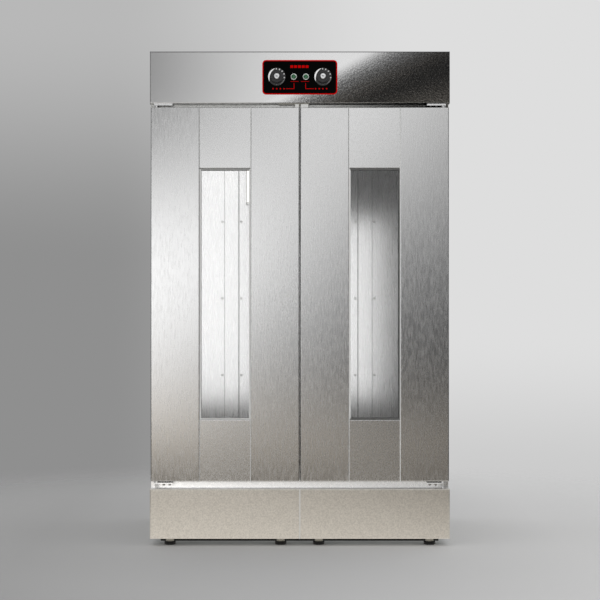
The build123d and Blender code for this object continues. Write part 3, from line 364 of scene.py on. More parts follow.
# %% Give every CAD node its finish
FINISHES = {
    STILE_STEEL: ["door_*_hinge_stile", "door_*_meeting_stile"],
    RAIL_STEEL: ["door_*_rails"],
    BASE_STEEL: ["base_front_left", "base_front_right"],
    HEADER_STEEL: ["header_fascia"],
    SIDE_STEEL: ["side_panel_left", "side_panel_right", "base_casing"],
    ROOF_STEEL: ["header_cover", "roof_panel"],
    LINER_STEEL: ["chamber_liner", "chamber_floor", "centre_mullion", "door_*_inner_panel", "duct_covers"],
    FRAME_STEEL: ["face_frame", "base_deck"],
    BRACKET_STEEL: ["hinge_brackets"],
    PLAIN_STEEL: ["rack_posts", "tray_runners", "door_*_fittings",
                  "water_pan", "heating_elements", "pan_head_screws"],
    GALVANISED: ["back_panel", "base_bottom_plate"],
    ZINC: ["door_catch"],
    GLASS: ["door_*_glass"],
    SEAL_RUBBER: ["door_*_seals"],
    FOAM: ["insulation", "door_*_core"],
    BLACK_ACRYLIC: ["control_panel"],
    BODY_ABS: ["knob_left", "knob_right", "thermostats", "terminal_block", "cable_gland"],
    CHROME: ["indicator_bezels"],
    GREEN: ["indicator_lenses"],
    OPAL: ["chamber_lamp"],
    SPUN: ["knob_left_cap", "knob_right_cap"],
    PVC: ["wiring_loom"],
    NYLON: [f"foot_{row}_{number}" for row in ("front", "rear") for number in range(1, 5)],
}
given = set()
for finish, patterns in FINISHES.items():
    for name in {pattern.replace("*", side) for pattern in patterns for side in ("left", "right")}:
        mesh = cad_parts[name].data
        mesh.materials.clear()
        mesh.materials.append(finish)
        given.add(name)
print("nodes with a finish:", len(given), "without:", sorted(set(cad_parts) - given))


# %% [markdown]
# ## Tools for modelling
# The new pieces are made as by hand: a primitive at its place, then extrude, inset and bevel in edit
# mode. Blender's operators act on whatever is selected, so each piece starts with nothing else
# selected, and each step leaves the newest face selected for the next one. Most small parts here were
# turned on a lathe or moulded round, so the most useful tool is one that draws a part ring by ring.

# %% Start, edit and push
UP, FRONT, BACK = Vector((0, 0, 1)), Vector((0, -1, 0)), Vector((0, 1, 0))


def start(name, primitive, stretch=(1, 1, 1), **settings):
    """Adds one primitive with nothing else selected, and puts its place and size into its mesh."""
    bpy.ops.object.select_all(action="DESELECT")
    primitive(**settings)
    piece = bpy.context.object
    piece.name = piece.data.name = name
    piece.scale = stretch
    bpy.ops.object.transform_apply(location=True, rotation=True, scale=True)
    return piece


def pick(piece):
    """Selects one piece and nothing else."""
    bpy.ops.object.select_all(action="DESELECT")
    piece.select_set(True)
    bpy.context.view_layer.objects.active = piece


@contextmanager
def edit(piece):
    """Opens a piece in edit mode with all of it selected, and closes it again."""
    pick(piece)
    bpy.ops.object.mode_set(mode="EDIT")
    bpy.ops.mesh.select_mode(type="FACE")
    bpy.ops.mesh.select_all(action="SELECT")
    yield
    bpy.ops.object.mode_set(mode="OBJECT")


def push(way, amount):
    """Extrudes the selection by an amount in mm."""
    bpy.ops.mesh.extrude_region_move(TRANSFORM_OT_translate={"value": way * amount * MM})


def inset(width, depth=0.0):
    """Insets the selected face by a width in mm, and raises what is inside by a depth."""
    bpy.ops.mesh.inset(thickness=width * MM, depth=depth * MM)


def plane(name, x, z, y, way=FRONT):
    """An upright plane from x[0] to x[1] and z[0] to z[1] at y, in mm, that faces the front or the back."""
    middle = Vector((sum(x) / 2, y, sum(z) / 2)) * MM
    return start(name, bpy.ops.mesh.primitive_plane_add, ((x[1] - x[0]) * MM, (z[1] - z[0]) * MM, 1),
                 size=1, location=middle, rotation=(math.radians(-90 * way.y), 0, 0))


def turned(name, centre, way, profile, sides=48):
    """A part turned about an axis: a filled circle, extruded and resized for each (height, radius) in mm."""
    centre = Vector(centre) * MM
    height, radius = profile[0]
    piece = start(name, bpy.ops.mesh.primitive_circle_add, vertices=sides, radius=radius * MM,
                  fill_type="NGON", location=centre + way * height * MM,
                  rotation=way.to_track_quat("Z", "Y").to_euler())
    with edit(piece):
        for next_height, next_radius in profile[1:]:
            push(way, next_height - height)
            ratio = next_radius / radius
            bpy.ops.transform.resize(value=[1 if abs(part) > 0.5 else ratio for part in way],
                                     center_override=centre)
            height, radius = next_height, next_radius
    return piece


print("a lathe, a press and a file are ready")

# %% [markdown]
# A real edge is never a knife edge: it is filed, moulded or tumbled to a small round, and that round is
# what draws the thin bright line along it. The Bevel modifier does this, and is applied. Cutting with
# another shape is the Boolean modifier's work. A repeat is a copy with its own mesh, and at the end
# every piece has its doubles merged and its faces turned outwards before it is handed to its body.

# %% Soften, cut, copy, join and settle
def apply_modifier(piece, modifier):
    """Makes what a modifier shows into real geometry."""
    pick(piece)
    bpy.ops.object.modifier_apply(modifier=modifier.name)


def soften(piece, width, segments=2, angle=35):
    """Rounds every edge sharper than the angle, by a width in mm."""
    rim = piece.modifiers.new("rim", "BEVEL")
    rim.width, rim.segments, rim.limit_method = width * MM, segments, "ANGLE"
    rim.angle_limit = math.radians(angle)
    apply_modifier(piece, rim)


def cut(piece, tool):
    """Cuts a tool out of a piece, and puts the tool away."""
    bite = piece.modifiers.new("bite", "BOOLEAN")
    bite.object, bite.operation, bite.solver = tool, "DIFFERENCE", "EXACT"
    apply_modifier(piece, bite)
    bpy.data.objects.remove(tool)


def shift(x=0, y=0, z=0):
    """A matrix that moves by x, y and z in mm."""
    return Matrix.Translation(Vector((x, y, z)) * MM)


def copy_of(piece, name, move):
    """A copy with its own mesh, moved by a matrix."""
    twin = piece.copy()
    twin.data = piece.data.copy()
    twin.name = twin.data.name = name
    bpy.context.scene.collection.objects.link(twin)
    twin.data.transform(move)
    return twin


def joined(name, parts):
    """Joins parts into the first one."""
    pick(parts[0])
    for part in parts:
        part.select_set(True)
    bpy.ops.object.join()
    parts[0].name = parts[0].data.name = name
    return parts[0]


def settle(piece, finish, body, node=None, slot=None, smooth=30):
    """Cleans the mesh, gives the finish, puts the piece on the body it rides on, and hides the CAD node it
    stands for.
    """
    with edit(piece):
        bpy.ops.mesh.remove_doubles(threshold=0.002 * MM)
        bpy.ops.mesh.normals_make_consistent(inside=False)
    if finish:
        piece.data.materials.clear()
        piece.data.materials.append(finish)
    bpy.ops.object.shade_smooth_by_angle(angle=math.radians(smooth))
    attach(piece, body)
    if node:
        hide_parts(node)


print("files and jigs are ready")

# %% [markdown]
# ## The control panel
# The panel is a plate of black acrylic with round corners and a red border printed on it. A plane gets
# its corners rounded by a vertex bevel, is pressed out to its thickness, and two insets draw first the
# polished chamfer and then the border, which is its own ring of faces and so can take its own ink.

# %% Panel plate
DIAL, LAMP = (-77, 0, 1565), (-20.3, 0, 1565)  # the axes of the left dial and the left lamp
BORDER = (120.9, 53.4)  # mm from the panel's middle, across and up, where the border begins
CORNER = (112, 44)      # and where its round corners do
panel = plane("panel_plate", (-125, 125), (1506, 1621), -354)
with edit(panel):
    bpy.ops.mesh.bevel(offset=12.8 * MM, segments=8, affect="VERTICES")
    bpy.ops.mesh.select_all(action="SELECT")
    push(FRONT, 2.6)
    inset(0.4, 0.4)
    inset(3.4)
for x, radius in ((DIAL[0], 5.2), (-DIAL[0], 5.2), (LAMP[0], 8.2), (-LAMP[0], 8.2)):
    cut(panel, turned("hole_tool", (x, 0, 1565), FRONT, [(350, radius), (360, radius)]))
panel.data.materials.append(BLACK_ACRYLIC)
panel.data.materials.append(RED_INK)
for face in panel.data.polygons:
    across, up = abs(face.center.x) / MM, abs(face.center.z / MM - 1563.5)
    in_corner = across > CORNER[0] and up > CORNER[1] and face.area < 0.001
    on_rim = across > BORDER[0] or up > BORDER[1] or in_corner
    face.material_index = 1 if on_rim and face.center.y < -0.3565 else 0
settle(panel, None, "cabinet", "control_panel", "panel_black", smooth=25)
red_faces = sum(face.material_index for face in panel.data.polygons)
print("panel:", len(panel.data.polygons), "faces,", red_faces, "of them in the red border")

# %% [markdown]
# The printing is plain: a bar of five blocks over the lamps, a line under each lamp, and a lead from
# each line to four dots under its dial. Screen ink is a film that stands a tenth of a millimetre proud,
# so each mark is a low block or a low disc pressed out of the panel's face.

# %% Panel printing
INK_BACK, INK_FILM = 356.95, 0.15


def printed(name, x, z):
    """A flat mark from x[0] to x[1] and z[0] to z[1] on the panel's face."""
    mark = plane(name, x, z, -INK_BACK)
    with edit(mark):
        push(FRONT, INK_FILM)
    return mark


marks = []
for n in range(5):
    left = -31.7 + 12.7 * n
    marks.append(printed("bar_block", (left, left + 9.8), (1594.6, 1603.2)))
for side in (-1, 1):
    marks.append(printed("lamp_line", sorted((side * 4.3, side * 31)), (1549.0, 1550.2)))
    marks.append(printed("lead", sorted((side * 18.4, side * 20.2)), (1524.4, 1543.6)))
    marks.append(printed("lead_foot", sorted((side * 20.2, side * 46.5)), (1524.4, 1526.2)))
    for x in (52.5, 64.8, 76.8, 89.3):
        disc = [(INK_BACK, 2.5), (INK_BACK + INK_FILM, 2.5)]
        marks.append(turned("dot", (side * x, 0, 1525.2), FRONT, disc, 20))
settle(joined("panel_printing", marks), RED_INK, "cabinet")
print("printed marks:", len(marks))

# %% [markdown]
# ## The dials
# A dial is three parts: a flat skirt that carries the scale, a grip moulded with eight finger notches,
# and a spun aluminium cap. The skirt and the cap are turned. The grip is turned too, then notched by
# eight round cutters, one turned and spun about the axis, and its edges are softened as a mould needs.

# %% Skirt, grip and cap of one dial
NOTCHES = 8
skirt = turned("dial_left_skirt", DIAL, FRONT, [(357.8, 29.4), (358.1, 29.75), (359.6, 29.75),
               (360.8, 28.55), (360.8, 22.3), (360.4, 22.0), (360.4, 20.6)], 96)
grip = turned("dial_left_grip", DIAL, FRONT, [(360.2, 21.5), (376.5, 21.5), (376.5, 12.6), (375.6, 12.0),
              (375.6, 10.2)], 96)
cutter = turned("notch_tool", (-77, 0, 1565 + 24.9), FRONT, [(359, 5), (378, 5)], 24)
with edit(cutter):
    bpy.ops.mesh.spin(steps=NOTCHES - 1, dupli=True, angle=2 * math.pi * (NOTCHES - 1) / NOTCHES,
                      center=Vector(DIAL) * MM, axis=FRONT)
with edit(cutter):
    bpy.ops.transform.rotate(value=math.pi / NOTCHES, orient_axis="Y", center_override=Vector(DIAL) * MM)
    bpy.ops.mesh.normals_make_consistent(inside=False)
cut(grip, cutter)
soften(grip, 0.8, 3, 40)
cap = turned("dial_left_cap", DIAL, FRONT, [(374.6, 9.5), (376.4, 9.5), (377.0, 9.2), (377.9, 8.1),
             (378, 7.8), (377.75, 7.5), (377.75, 5.6), (378, 5.4), (378, 1.6), (377.9, 1.2)], 64)
spindle = turned("dial_left_spindle", DIAL, FRONT, [(339.8, 2.5), (340.3, 3.0), (369.8, 3.0)], 24)
print("grip:", len(grip.data.polygons), "faces after its", NOTCHES, "notches")

# %% [markdown]
# The scale is printed on the skirt: five ticks run clockwise from the top, and a dot marks the bottom.
# A bright silver wedge that grows and fades is a painted highlight on the skirt's upper left, and a
# thinner grey one is a fainter painted highlight on its lower right. A wedge with two curved sides is
# what is left of a disc when a larger circle is cut out of it. The cap gets a short dark dash.

# %% Scale and painted highlights of one dial
PRINT_BACK, PRINT_FRONT = 360.7, 360.9


def turn_about_dial(degrees):
    """A matrix that turns clockwise about the left dial's axis, as it is seen from the front."""
    here = shift(*DIAL)
    return here @ Matrix.Rotation(math.radians(degrees), 4, "Y") @ here.inverted()


def wedge(name, clock, reach, bite_radius):
    """A crescent whose middle lies at a clock angle: a disc, less a circle set off by a reach in mm."""
    disc = turned(name, DIAL, FRONT, [(PRINT_BACK, 28.3), (PRINT_FRONT, 28.3)], 128)
    bite = [(360, bite_radius), (362, bite_radius)]
    cut(disc, turned("bite_tool", (-77, 0, 1565 - reach), FRONT, bite, 256))
    disc.data.transform(turn_about_dial(clock))
    return disc


tick = plane("tick", (-78.9, -75.1), (1565 + 23.2, 1565 + 27.8), -PRINT_BACK)
with edit(tick):
    push(FRONT, 0.2)
    inset(0.3)
ticks = [copy_of(tick, "tick_copy", turn_about_dial(angle)) for angle in (-3, 21, 45, 70, 98)]
bpy.data.objects.remove(tick)
white = joined("dial_left_scale_white", ticks)
# Painted highlights: a bright wedge on the upper left and a faint grey one on the lower right.
bright_glint = wedge("dial_left_scale_foil", 293, 20.1, 42.8)
thin = wedge("wedge_grey", 128, 99.2, 124.2)
dot = turned("bottom_dot", (-77, 0, 1565 - 26.1), FRONT, [(PRINT_BACK, 1.5), (PRINT_FRONT, 1.5)], 20)
grey = joined("dial_left_scale_grey", [thin, dot])
dash = plane("dial_left_mark", (-80.6, -73.4), (1563.6, 1566.4), -377.85)
with edit(dash):
    push(FRONT, 0.15)
print("white scale:", len(white.data.polygons), "faces")

# %% The second dial, and their bodies
for piece, finish, node, slot in (
        (skirt, SKIRT_ABS, "knob_{}", "knob_black"), (grip, BLACK_ABS, "knob_{}", "knob_black"),
        (spindle, PLAIN_STEEL, "knob_{}", "plain_stainless"), (cap, SPUN, "knob_{}_cap", "spun_aluminium"),
        (white, WHITE_INK, "", None), (bright_glint, GLINT_SILVER, "", None), (grey, GREY_INK_AND_GLINT, "", None),
        (dash, DARK_INK, "", None)):
    twin = copy_of(piece, piece.name.replace("left", "right"), shift(-2 * DIAL[0]))
    for one, side in ((piece, "left"), (twin, "right")):
        settle(one, finish, f"knob_{side}", node.format(side), slot)

# %% [markdown]
# ## The indicator lamps
# Each lamp is a chromed bezel screwed into the header with a green moulded lens pressed into it. The
# bezel's face is a shallow dish, which is why it shows one bright and one dark rim. The lens is domed,
# with a ring near its edge where the moulding steps.

# %% Bezels and lenses
bezel = turned("lamp_left_bezel", LAMP, FRONT, [(330.2, 7.6), (330.6, 8), (357, 8), (357, 10.5),
               (359.0, 10.5), (359.8, 10.0), (360, 9.3), (359.9, 8.3), (358.9, 7.1), (358.4, 6.6)], 64)
lens = turned("lamp_left_lens", LAMP, FRONT, [(357.9, 6.5), (360.2, 6.5), (360.8, 6.1), (361.1, 5.3),
              (361.0, 4.9), (361.25, 4.4), (361.45, 3.0), (361.5, 1.2)], 48)
for piece, finish, node, slot in ((bezel, CHROME, "indicator_bezels", "chrome_trim"),
                                  (lens, GREEN, "indicator_lenses", "green_lens")):
    twin = copy_of(piece, piece.name.replace("left", "right"), shift(-2 * LAMP[0]))
    for one in (piece, twin):
        settle(one, finish, "cabinet", node, slot, smooth=50)
print("bezel:", len(bezel.data.polygons), "faces, lens:", len(lens.data.polygons))

# %% [markdown]
# ## Glazing strips and door seals
# A pane sits in an extruded silicone strip, flush with the door's face and with a narrow rounded lip.
# The strip is an open frame: a plane is inset, its middle is deleted, and what is left is pressed out
# and inset again for the lip. The left strip's top run is painted mid grey, as painted shade under the
# window's top. Three runs of the right one are painted dark grey, as painted shade: its top, its bottom
# and the run beside the hinges. The seal behind each door is the same frame, larger, with a flange, a
# bulb and a groove between its lips.

# %% Glazing strips
def rubber_frame(name, x, z, y, way, width):
    """An open flat frame with the given outside and a width in mm, ready to be pressed out."""
    piece = plane(name, x, z, y, way)
    with edit(piece):
        inset(width)
        bpy.ops.mesh.delete(type="FACE")
    return piece


WINDOW_X, WINDOW_Z = (-334.5, -164.5), (422, 1260)
STRIP = 5
strip = rubber_frame("glazing_left_front", WINDOW_X, WINDOW_Z, -338, FRONT, STRIP)
with edit(strip):
    push(FRONT, 9.2)
    inset(0.6, 0.8)
soften(strip, 0.3, 2, 30)
rear = copy_of(strip, "glazing_left_rear", shift(0, 25))
for vertex in strip.data.vertices:
    if vertex.co.y < -0.345:
        vertex.co.y -= 3.3 * MM
BETWEEN_WINDOWS = shift(499)
strips = [strip, rear, copy_of(strip, "glazing_right_front", BETWEEN_WINDOWS),
          copy_of(rear, "glazing_right_rear", BETWEEN_WINDOWS)]
print("glazing strips:", len(strips))

# %% Door seals
seal = rubber_frame("seal_left_door", (-480, -4), (218, 1462), -312, BACK, 16)
with edit(seal):
    push(BACK, 1.6)
    inset(2.6)
    push(BACK, 6.6)
    inset(1.5, 1.5)
    inset(2.2)
    push(FRONT, 1.8)
soften(seal, 0.6, 2, 30)
seals = [seal, copy_of(seal, "seal_right_door", shift(484))]
for piece in strips + seals:
    side = "left" if "left" in piece.name else "right"
    settle(piece, SEAL_RUBBER if piece in seals else GASKET_RUBBER, f"door_{side}", f"door_{side}_seals",
           "grey_gasket", smooth=35)
print("door seals:", len(seals))

# %% The runs of the strips painted as shade
for piece in strips:
    left = "left" in piece.name
    # The second finish is painted shade: mid grey on the left strip's top run, dark grey on three runs of
    # the right one.
    piece.data.materials.append(SHADE_PAINTED_RUBBER if left else SEAL_RUBBER)
    for face in piece.data.polygons:
        x, z = face.center.x / MM, face.center.z / MM
        at_hinges = x > -WINDOW_X[0] - STRIP - 0.1
        dark = z > WINDOW_Z[1] - STRIP - 0.1 or (not left and (z < WINDOW_Z[0] + STRIP + 0.1 or at_hinges))
        face.material_index = 1 if dark else 0
print("dark faces:", sum(face.material_index for piece in strips for face in piece.data.polygons))

# %% [markdown]
# Where a rail meets a stile, the welder runs a fine bead along the joint and dresses it smooth. It is
# one to three millimetres wide, yet it matters: its near-white matt paint is a painted highlight for
# the light that the folded edges catch, and it turns what would be a black slit into a line that is a
# shade lighter or darker than the sheet beside it. Each bead is a thin rod set into the joint, and
# three of the four run on past the window. The base's two fronts meet in the same way, in the middle.

# %% Beads along the joints
BEADS = {"left": ((-334.6, 0.55), (-164.4, 0.95)), "right": ((164.4, 1.15), (334.8, 1.4))}  # x, radius


def bead(name, x, y, z, radius):
    """A thin rod from z[0] to z[1] with softened ends."""
    low, high = z[0] + 0.3, z[1] - 0.3
    return turned(name, (x, y, 0), UP, [(low, radius - 0.1), (low + 0.3, radius), (high - 0.3, radius),
                  (high, radius - 0.1)], 16)


for side, joints in BEADS.items():
    runs = []
    for x, radius in joints:
        for z in ((216, 422), (1260, 1464)) if x < -300 else ((216, 1464),):
            runs.append(bead("bead", x, -351.8, z, radius))
    settle(joined(f"door_{side}_joint_beads", runs), WELD_HIGHLIGHT, f"door_{side}", None, "brushed_stainless",
           smooth=60)
settle(bead("base_joint_bead", 0, -353.7, (25, 191), 1.7), WELD_HIGHLIGHT, "cabinet", None, "brushed_stainless",
       smooth=60)
print("joints with a bead:", sum(len(joints) for joints in BEADS.values()), "in the doors, 1 in the base")

# %% [markdown]
# Down both sides of each duct cover, a thin dark rod on the back wall is a painted shadow: it draws the
# fine upright lines behind the glass, where the covers' edges cast shade. Under the base, behind the
# front feet, a black strip is a painted shadow too, which darkens the gap there.

# %% Painted shadow lines and painted shadow strip
lines = []
for side in (-1, 1):
    for x, radius in ((223.4, 1.5), (275.6, 1.2)):
        rod = [(247.5, radius), (248, radius), (1432, radius), (1432.5, radius)]
        lines.append(turned("line", (side * x, 334.2, 0), UP, rod, 12))
settle(joined("duct_painted_shadow_lines", lines), EDGE_SHADOW_PAINT, "cabinet", None, "grey_gasket", smooth=60)
shadow_strip = plane("base_painted_shadow_strip", (-470, 470), (6.5, 25), -266)
with edit(shadow_strip):
    push(FRONT, 3)
    inset(1, 0.6)
# The strip's black is painted shadow in the gap under the base.
settle(shadow_strip, NYLON, "cabinet", None, "dark_moulding")
print("painted shadow lines:", len(lines))

# %% [markdown]
# ## The feet
# A levelling foot is a nylon pad under a steel nut, on a threaded stud that turns in a nut welded to
# the base. The pad is turned. The nut is a six-sided circle pressed up, with its corners chamfered. The
# thread is a true helix: a small V, swept up and round by the Screw modifier.

# %% Pad, nut and stud of one foot
PITCH, THREAD_TURNS = 1.5, 29  # the pitch in mm, and how many times the thread goes round
THREAD_FROM = (4.35, 24.2)     # in mm, how far out and how high the thread starts
pad = turned("foot_pad", (0, 0, 0), UP, [(0, 17.6), (0.4, 18.4), (1.6, 19.3), (2.4, 19.5), (9.4, 19.5),
             (10.2, 19.0), (11.2, 17.4), (12, 15.6)], 64)
nut = turned("foot_nut", (0, 0, 0), UP, [(12, 14.6), (13.4, 14.6)], 48)
hexagon = turned("foot_hexagon", (0, 0, 0), UP, [(13.2, 13.4), (13.8, 14.9), (23.8, 14.9), (24.6, 13.2),
                 (25, 8.0)], 6)
soften(hexagon, 0.4, 2, 25)
stud = start("foot_stud", bpy.ops.mesh.primitive_plane_add, size=MM)
with edit(stud):
    bpy.ops.mesh.merge(type="CENTER")
    bpy.ops.mesh.select_mode(type="VERT")
    bpy.ops.mesh.select_all(action="SELECT")
    bpy.ops.transform.translate(value=(THREAD_FROM[0] * MM, 0, THREAD_FROM[1] * MM))
    for outward in (0.6, -0.6):
        push(Vector((outward, 0, PITCH / 2)), 1)
helix = stud.modifiers.new("thread", "SCREW")
helix.angle, helix.screw_offset, helix.iterations = 2 * math.pi, PITCH * MM, THREAD_TURNS
helix.steps = helix.render_steps = 20
helix.use_merge_vertices, helix.merge_threshold = True, 0.01 * MM
apply_modifier(stud, helix)
core = turned("foot_core", (0, 0, 0), UP, [(23.5, 4.4), (68.9, 4.4), (70, 3.4)], 20)
print("thread:", len(stud.data.polygons), "faces")

# %% Eight feet
FEET_X, FEET_Y = (-436, -64, 64, 436), {"front": -304, "rear": 316}
screw_part = joined("foot_screw", [nut, hexagon, stud, core])
for row, y in FEET_Y.items():
    for number, x in enumerate(FEET_X, start=1):
        body = f"foot_{row}_{number}"
        settle(copy_of(pad, f"{body}_pad", shift(x, y)), NYLON, body, body, "screw_foot")
        settle(copy_of(screw_part, f"{body}_screw", shift(x, y)), ZINC, body, body, "screw_foot", smooth=40)
bpy.data.objects.remove(pad)
bpy.data.objects.remove(screw_part)

# %% [markdown]
# ## The cable gland
# The mains cable leaves the back of the header through a gland: a hexagon that a spanner holds, a domed
# nut that squeezes a rubber sleeve, and inside the sheet a barrel with its lock nut. Both hexagons are
# six-sided circles, turned so that a flat lies on top.

# %% Gland body, dome and sleeve
GLAND = (400, 0, 1557)
barrel = turned("gland_barrel", GLAND, BACK, [(352, 9.2), (352.6, 10), (366, 10), (366, 10.4)], 40)
hexagons = []
for name, (low, high) in (("gland_hexagon", (366, 370.6)), ("gland_lock_nut", (358.8, 364.8))):
    one = turned(name, GLAND, BACK, [(low, 12.2), (low + 0.6, 12.95), (high - 0.6, 12.95), (high, 12.2)], 6)
    with edit(one):
        bpy.ops.transform.rotate(value=math.pi / 6, orient_axis="Y", center_override=Vector(GLAND) * MM)
    soften(one, 0.3, 2, 25)
    hexagons.append(one)
dome = turned("gland_dome", GLAND, BACK, [(370.4, 10.9), (373.6, 10.9), (375.6, 10.0), (377.0, 8.4),
              (377.8, 7.0), (377.9, 6.4), (376.4, 6.1), (371.5, 6.0)], 48)
sleeve = turned("gland_sleeve", GLAND, BACK, [(370.8, 5.9), (376.8, 5.9), (377.3, 5.6), (377.0, 5.1),
                (371.6, 5.0)], 40)
gland = joined("gland_body", [barrel, dome] + hexagons)
settle(gland, BODY_ABS, "cabinet", "cable_gland", "dark_moulding", smooth=40)
settle(sleeve, SEAL_RUBBER, "cabinet", "cable_gland", "dark_moulding", smooth=40)
print("gland:", len(gland.data.polygons), "faces")

# %% [markdown]
# ## The chamber lamp
# A slim tube lamp hangs on the chamber's back wall. Its tray is pressed from sheet, two holders grip the
# tube, and the tube has a metal collar at each end. The tube is the one thing here that makes light.

# %% Tray, holders and tube
tray = plane("chamber_lamp_tray", (-195, -173), (1177, 1427), 336)
with edit(tray):
    push(FRONT, 6.5)
    inset(1.5, 1.5)
    inset(3.0)
holders = []
for z in (1177, 1416):
    holder = plane("holder", (-192, -176), (z, z + 11), 328.2)
    with edit(holder):
        push(FRONT, 16.2)
    soften(holder, 1.5, 3)
    holders.append(holder)
tray = joined("chamber_lamp_tray", [tray] + holders)
settle(tray, PLAIN_STEEL, "cabinet", "chamber_lamp", "plain_stainless")
tube = turned("chamber_lamp_tube", (-184, 320, 0), UP, [(1187.5, 7.8), (1192, 7.8), (1192.4, 7.3),
              (1411.6, 7.3), (1412, 7.8), (1416.5, 7.8)], 32)
settle(tube, OPAL, "cabinet", "chamber_lamp", "opal_lamp", smooth=50)
print("chamber lamp:", len(tray.data.polygons), "faces and", len(tube.data.polygons), "in its tube")

# %% [markdown]
# ## Screws
# Every pan-head screw is the same, so one is modelled: a low dome turned ring by ring, with a cross
# recess cut by two blades. The CAD node already has a plain head at each place, so its mesh is read,
# each head is found as one island of joined vertices, and a copy of the good screw goes there, facing
# the same way.

# %% One screw
HEAD_WIDTH, HEAD_HEIGHT = 9, 2.2  # mm
SHANK = 4                         # mm from the axis: only the head reaches further out
screw = turned("screw", (0, 0, 0), UP, [(-0.3, 2.0), (0, 4.4), (0.9, 4.5), (1.5, 4.1), (1.95, 3.3),
               (HEAD_HEIGHT, 2.2)], 16)
for size in ((0.95, 4.4, 2.0), (4.4, 0.95, 2.0)):
    cut(screw, start("blade", bpy.ops.mesh.primitive_cube_add, [side * MM for side in size], size=1,
                     location=(0, 0, HEAD_HEIGHT * MM)))
print("one screw:", len(screw.data.polygons), "faces")


# %% A screw at every place
def island_of(first, seen):
    """The places of all the vertices that edges join to the first, which are then marked as seen."""
    places, queue = [], [first]
    seen.add(first)
    while queue:
        vertex = queue.pop()
        places.append(vertex.co.copy())
        for edge in vertex.link_edges:
            other = edge.other_vert(vertex)
            if other not in seen:
                seen.add(other)
                queue.append(other)
    return places


def seat_of(island):
    """Where a CAD screw's head sits, and which way it faces."""
    low = Vector([min(place[i] for place in island) for i in range(3)])
    high = Vector([max(place[i] for place in island) for i in range(3)])
    middle = (low + high) / 2
    along = max(range(3), key=lambda i: abs(high[i] - low[i] - HEAD_WIDTH * MM))
    round_it = [i for i in range(3) if i != along]
    rim = [place[along] for place in island
           if math.dist([place[i] for i in round_it], [middle[i] for i in round_it]) > SHANK * MM]
    outward = Vector((0, 0, 0))
    outward[along] = 1 if sum(rim) / len(rim) > middle[along] else -1
    seat = middle.copy()
    seat[along] = high[along] - HEAD_HEIGHT * MM if outward[along] > 0 else low[along] + HEAD_HEIGHT * MM
    return seat, outward


old = bmesh.new()
old.from_mesh(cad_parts["pan_head_screws"].data)
bmesh.ops.remove_doubles(old, verts=old.verts, dist=0.001 * MM)
seen = set()
heads = [seat_of(island_of(vertex, seen)) for vertex in old.verts if vertex not in seen]
old.free()
copies = []
for seat, outward in heads:
    turn = UP.rotation_difference(outward).to_matrix().to_4x4()
    copies.append(copy_of(screw, "screw_copy", Matrix.Translation(seat) @ turn))
bpy.data.objects.remove(screw)
screws = joined("screws_cross_recess", copies)
settle(screws, PLAIN_STEEL, "cabinet", "pan_head_screws", "plain_stainless", smooth=40)
print("screws:", len(heads), "in all,", len(screws.data.polygons), "faces")

# %% [markdown]
# ## The studio
# The stage is a pale floor that fades into an even backdrop. The floor is a plain matt plane, darker
# on the left, where the room's light falls off. Far from the cabinet it turns clear to the camera,
# which then sees the backdrop, so no horizon line crosses the view. Steel is a mirror of its
# surroundings, so mirrored rays get a warm, bright floor close by, a duller one further out, and
# beyond the lamps' reach a dark one, which is what a real floor shows to low and to bowed sheets.

# %% Floor
CLEAR = (1.2, 2.6)   # metres from the middle, where the floor turns into backdrop
DULL = (0.8, 1.7)    # where the mirrored floor turns dull
DARK = (1.45, 1.95)  # and where it turns dark


def neutral(value):
    """A grey with the same linear value in every channel."""
    return (value, value, value, 1)


floor = start("studio_floor", bpy.ops.mesh.primitive_plane_add, size=40)
material, add, shader, place = new_material("floor_pale", "C4C4C4", 0.8, Specular_IOR_Level=0.2)
path = add("LightPath")
side = add("SeparateXYZ", {0: place}).outputs["X"]
across = add("MapRange", {"Value": side, "From Min": -0.9, "From Max": 0.9})
tone = add("Mix", {"Factor": across, "A": "B2B2B2", "B": "E4E4E4"}, **COLOUR)
wire(shader, {"Base Color": tone})
reach = add("VectorMath", {0: place}, operation="LENGTH")
far = add("MapRange", {"Value": reach, "From Min": CLEAR[0], "From Max": CLEAR[1]}, **SMOOTH)
fade = add("Math", {0: far, 1: path.outputs["Is Camera Ray"]}, operation="MULTIPLY")
clear = add("BsdfTransparent")
faded = add("MixShader", {0: fade, 1: shader, 2: clear})
near = add("MapRange", {"Value": reach, "From Min": DULL[0], "From Max": DULL[1]}, **SMOOTH)
dull = add("Mix", {"Factor": near, "A": (0.75, 0.72, 0.67, 1), "B": (0.2, 0.181, 0.153, 1)}, **COLOUR)
outer = add("MapRange", {"Value": reach, "From Min": DARK[0], "From Max": DARK[1]}, **SMOOTH)
mirrored = add("Mix", {"Factor": outer, "A": dull, "B": neutral(0.03)}, **COLOUR)
mirror_floor = add("Emission", {"Color": mirrored})
once = add("Math", {0: path.outputs["Glossy Depth"], 1: 1.0}, operation="MINIMUM")
both = add("MixShader", {0: once, 1: faded, 2: mirror_floor})
wire(material.node_tree.nodes["Material Output"], {"Surface": both})
material.cycles.emission_sampling = "NONE"
floor.data.materials.append(material)
print("the floor fades out between", CLEAR[0], "and", CLEAR[1], "m")

# %% [markdown]
# The world is one even dome of light. What the camera sees of it, straight or through glass, is a grey
# wall that grows lighter to the right. What the steel mirrors of it is dim below and brighter overhead,
# because the strong reflections come from the diffuser card in front. What steel behind the glass
# mirrors is dark, because it looks out into the unlit side of the room.

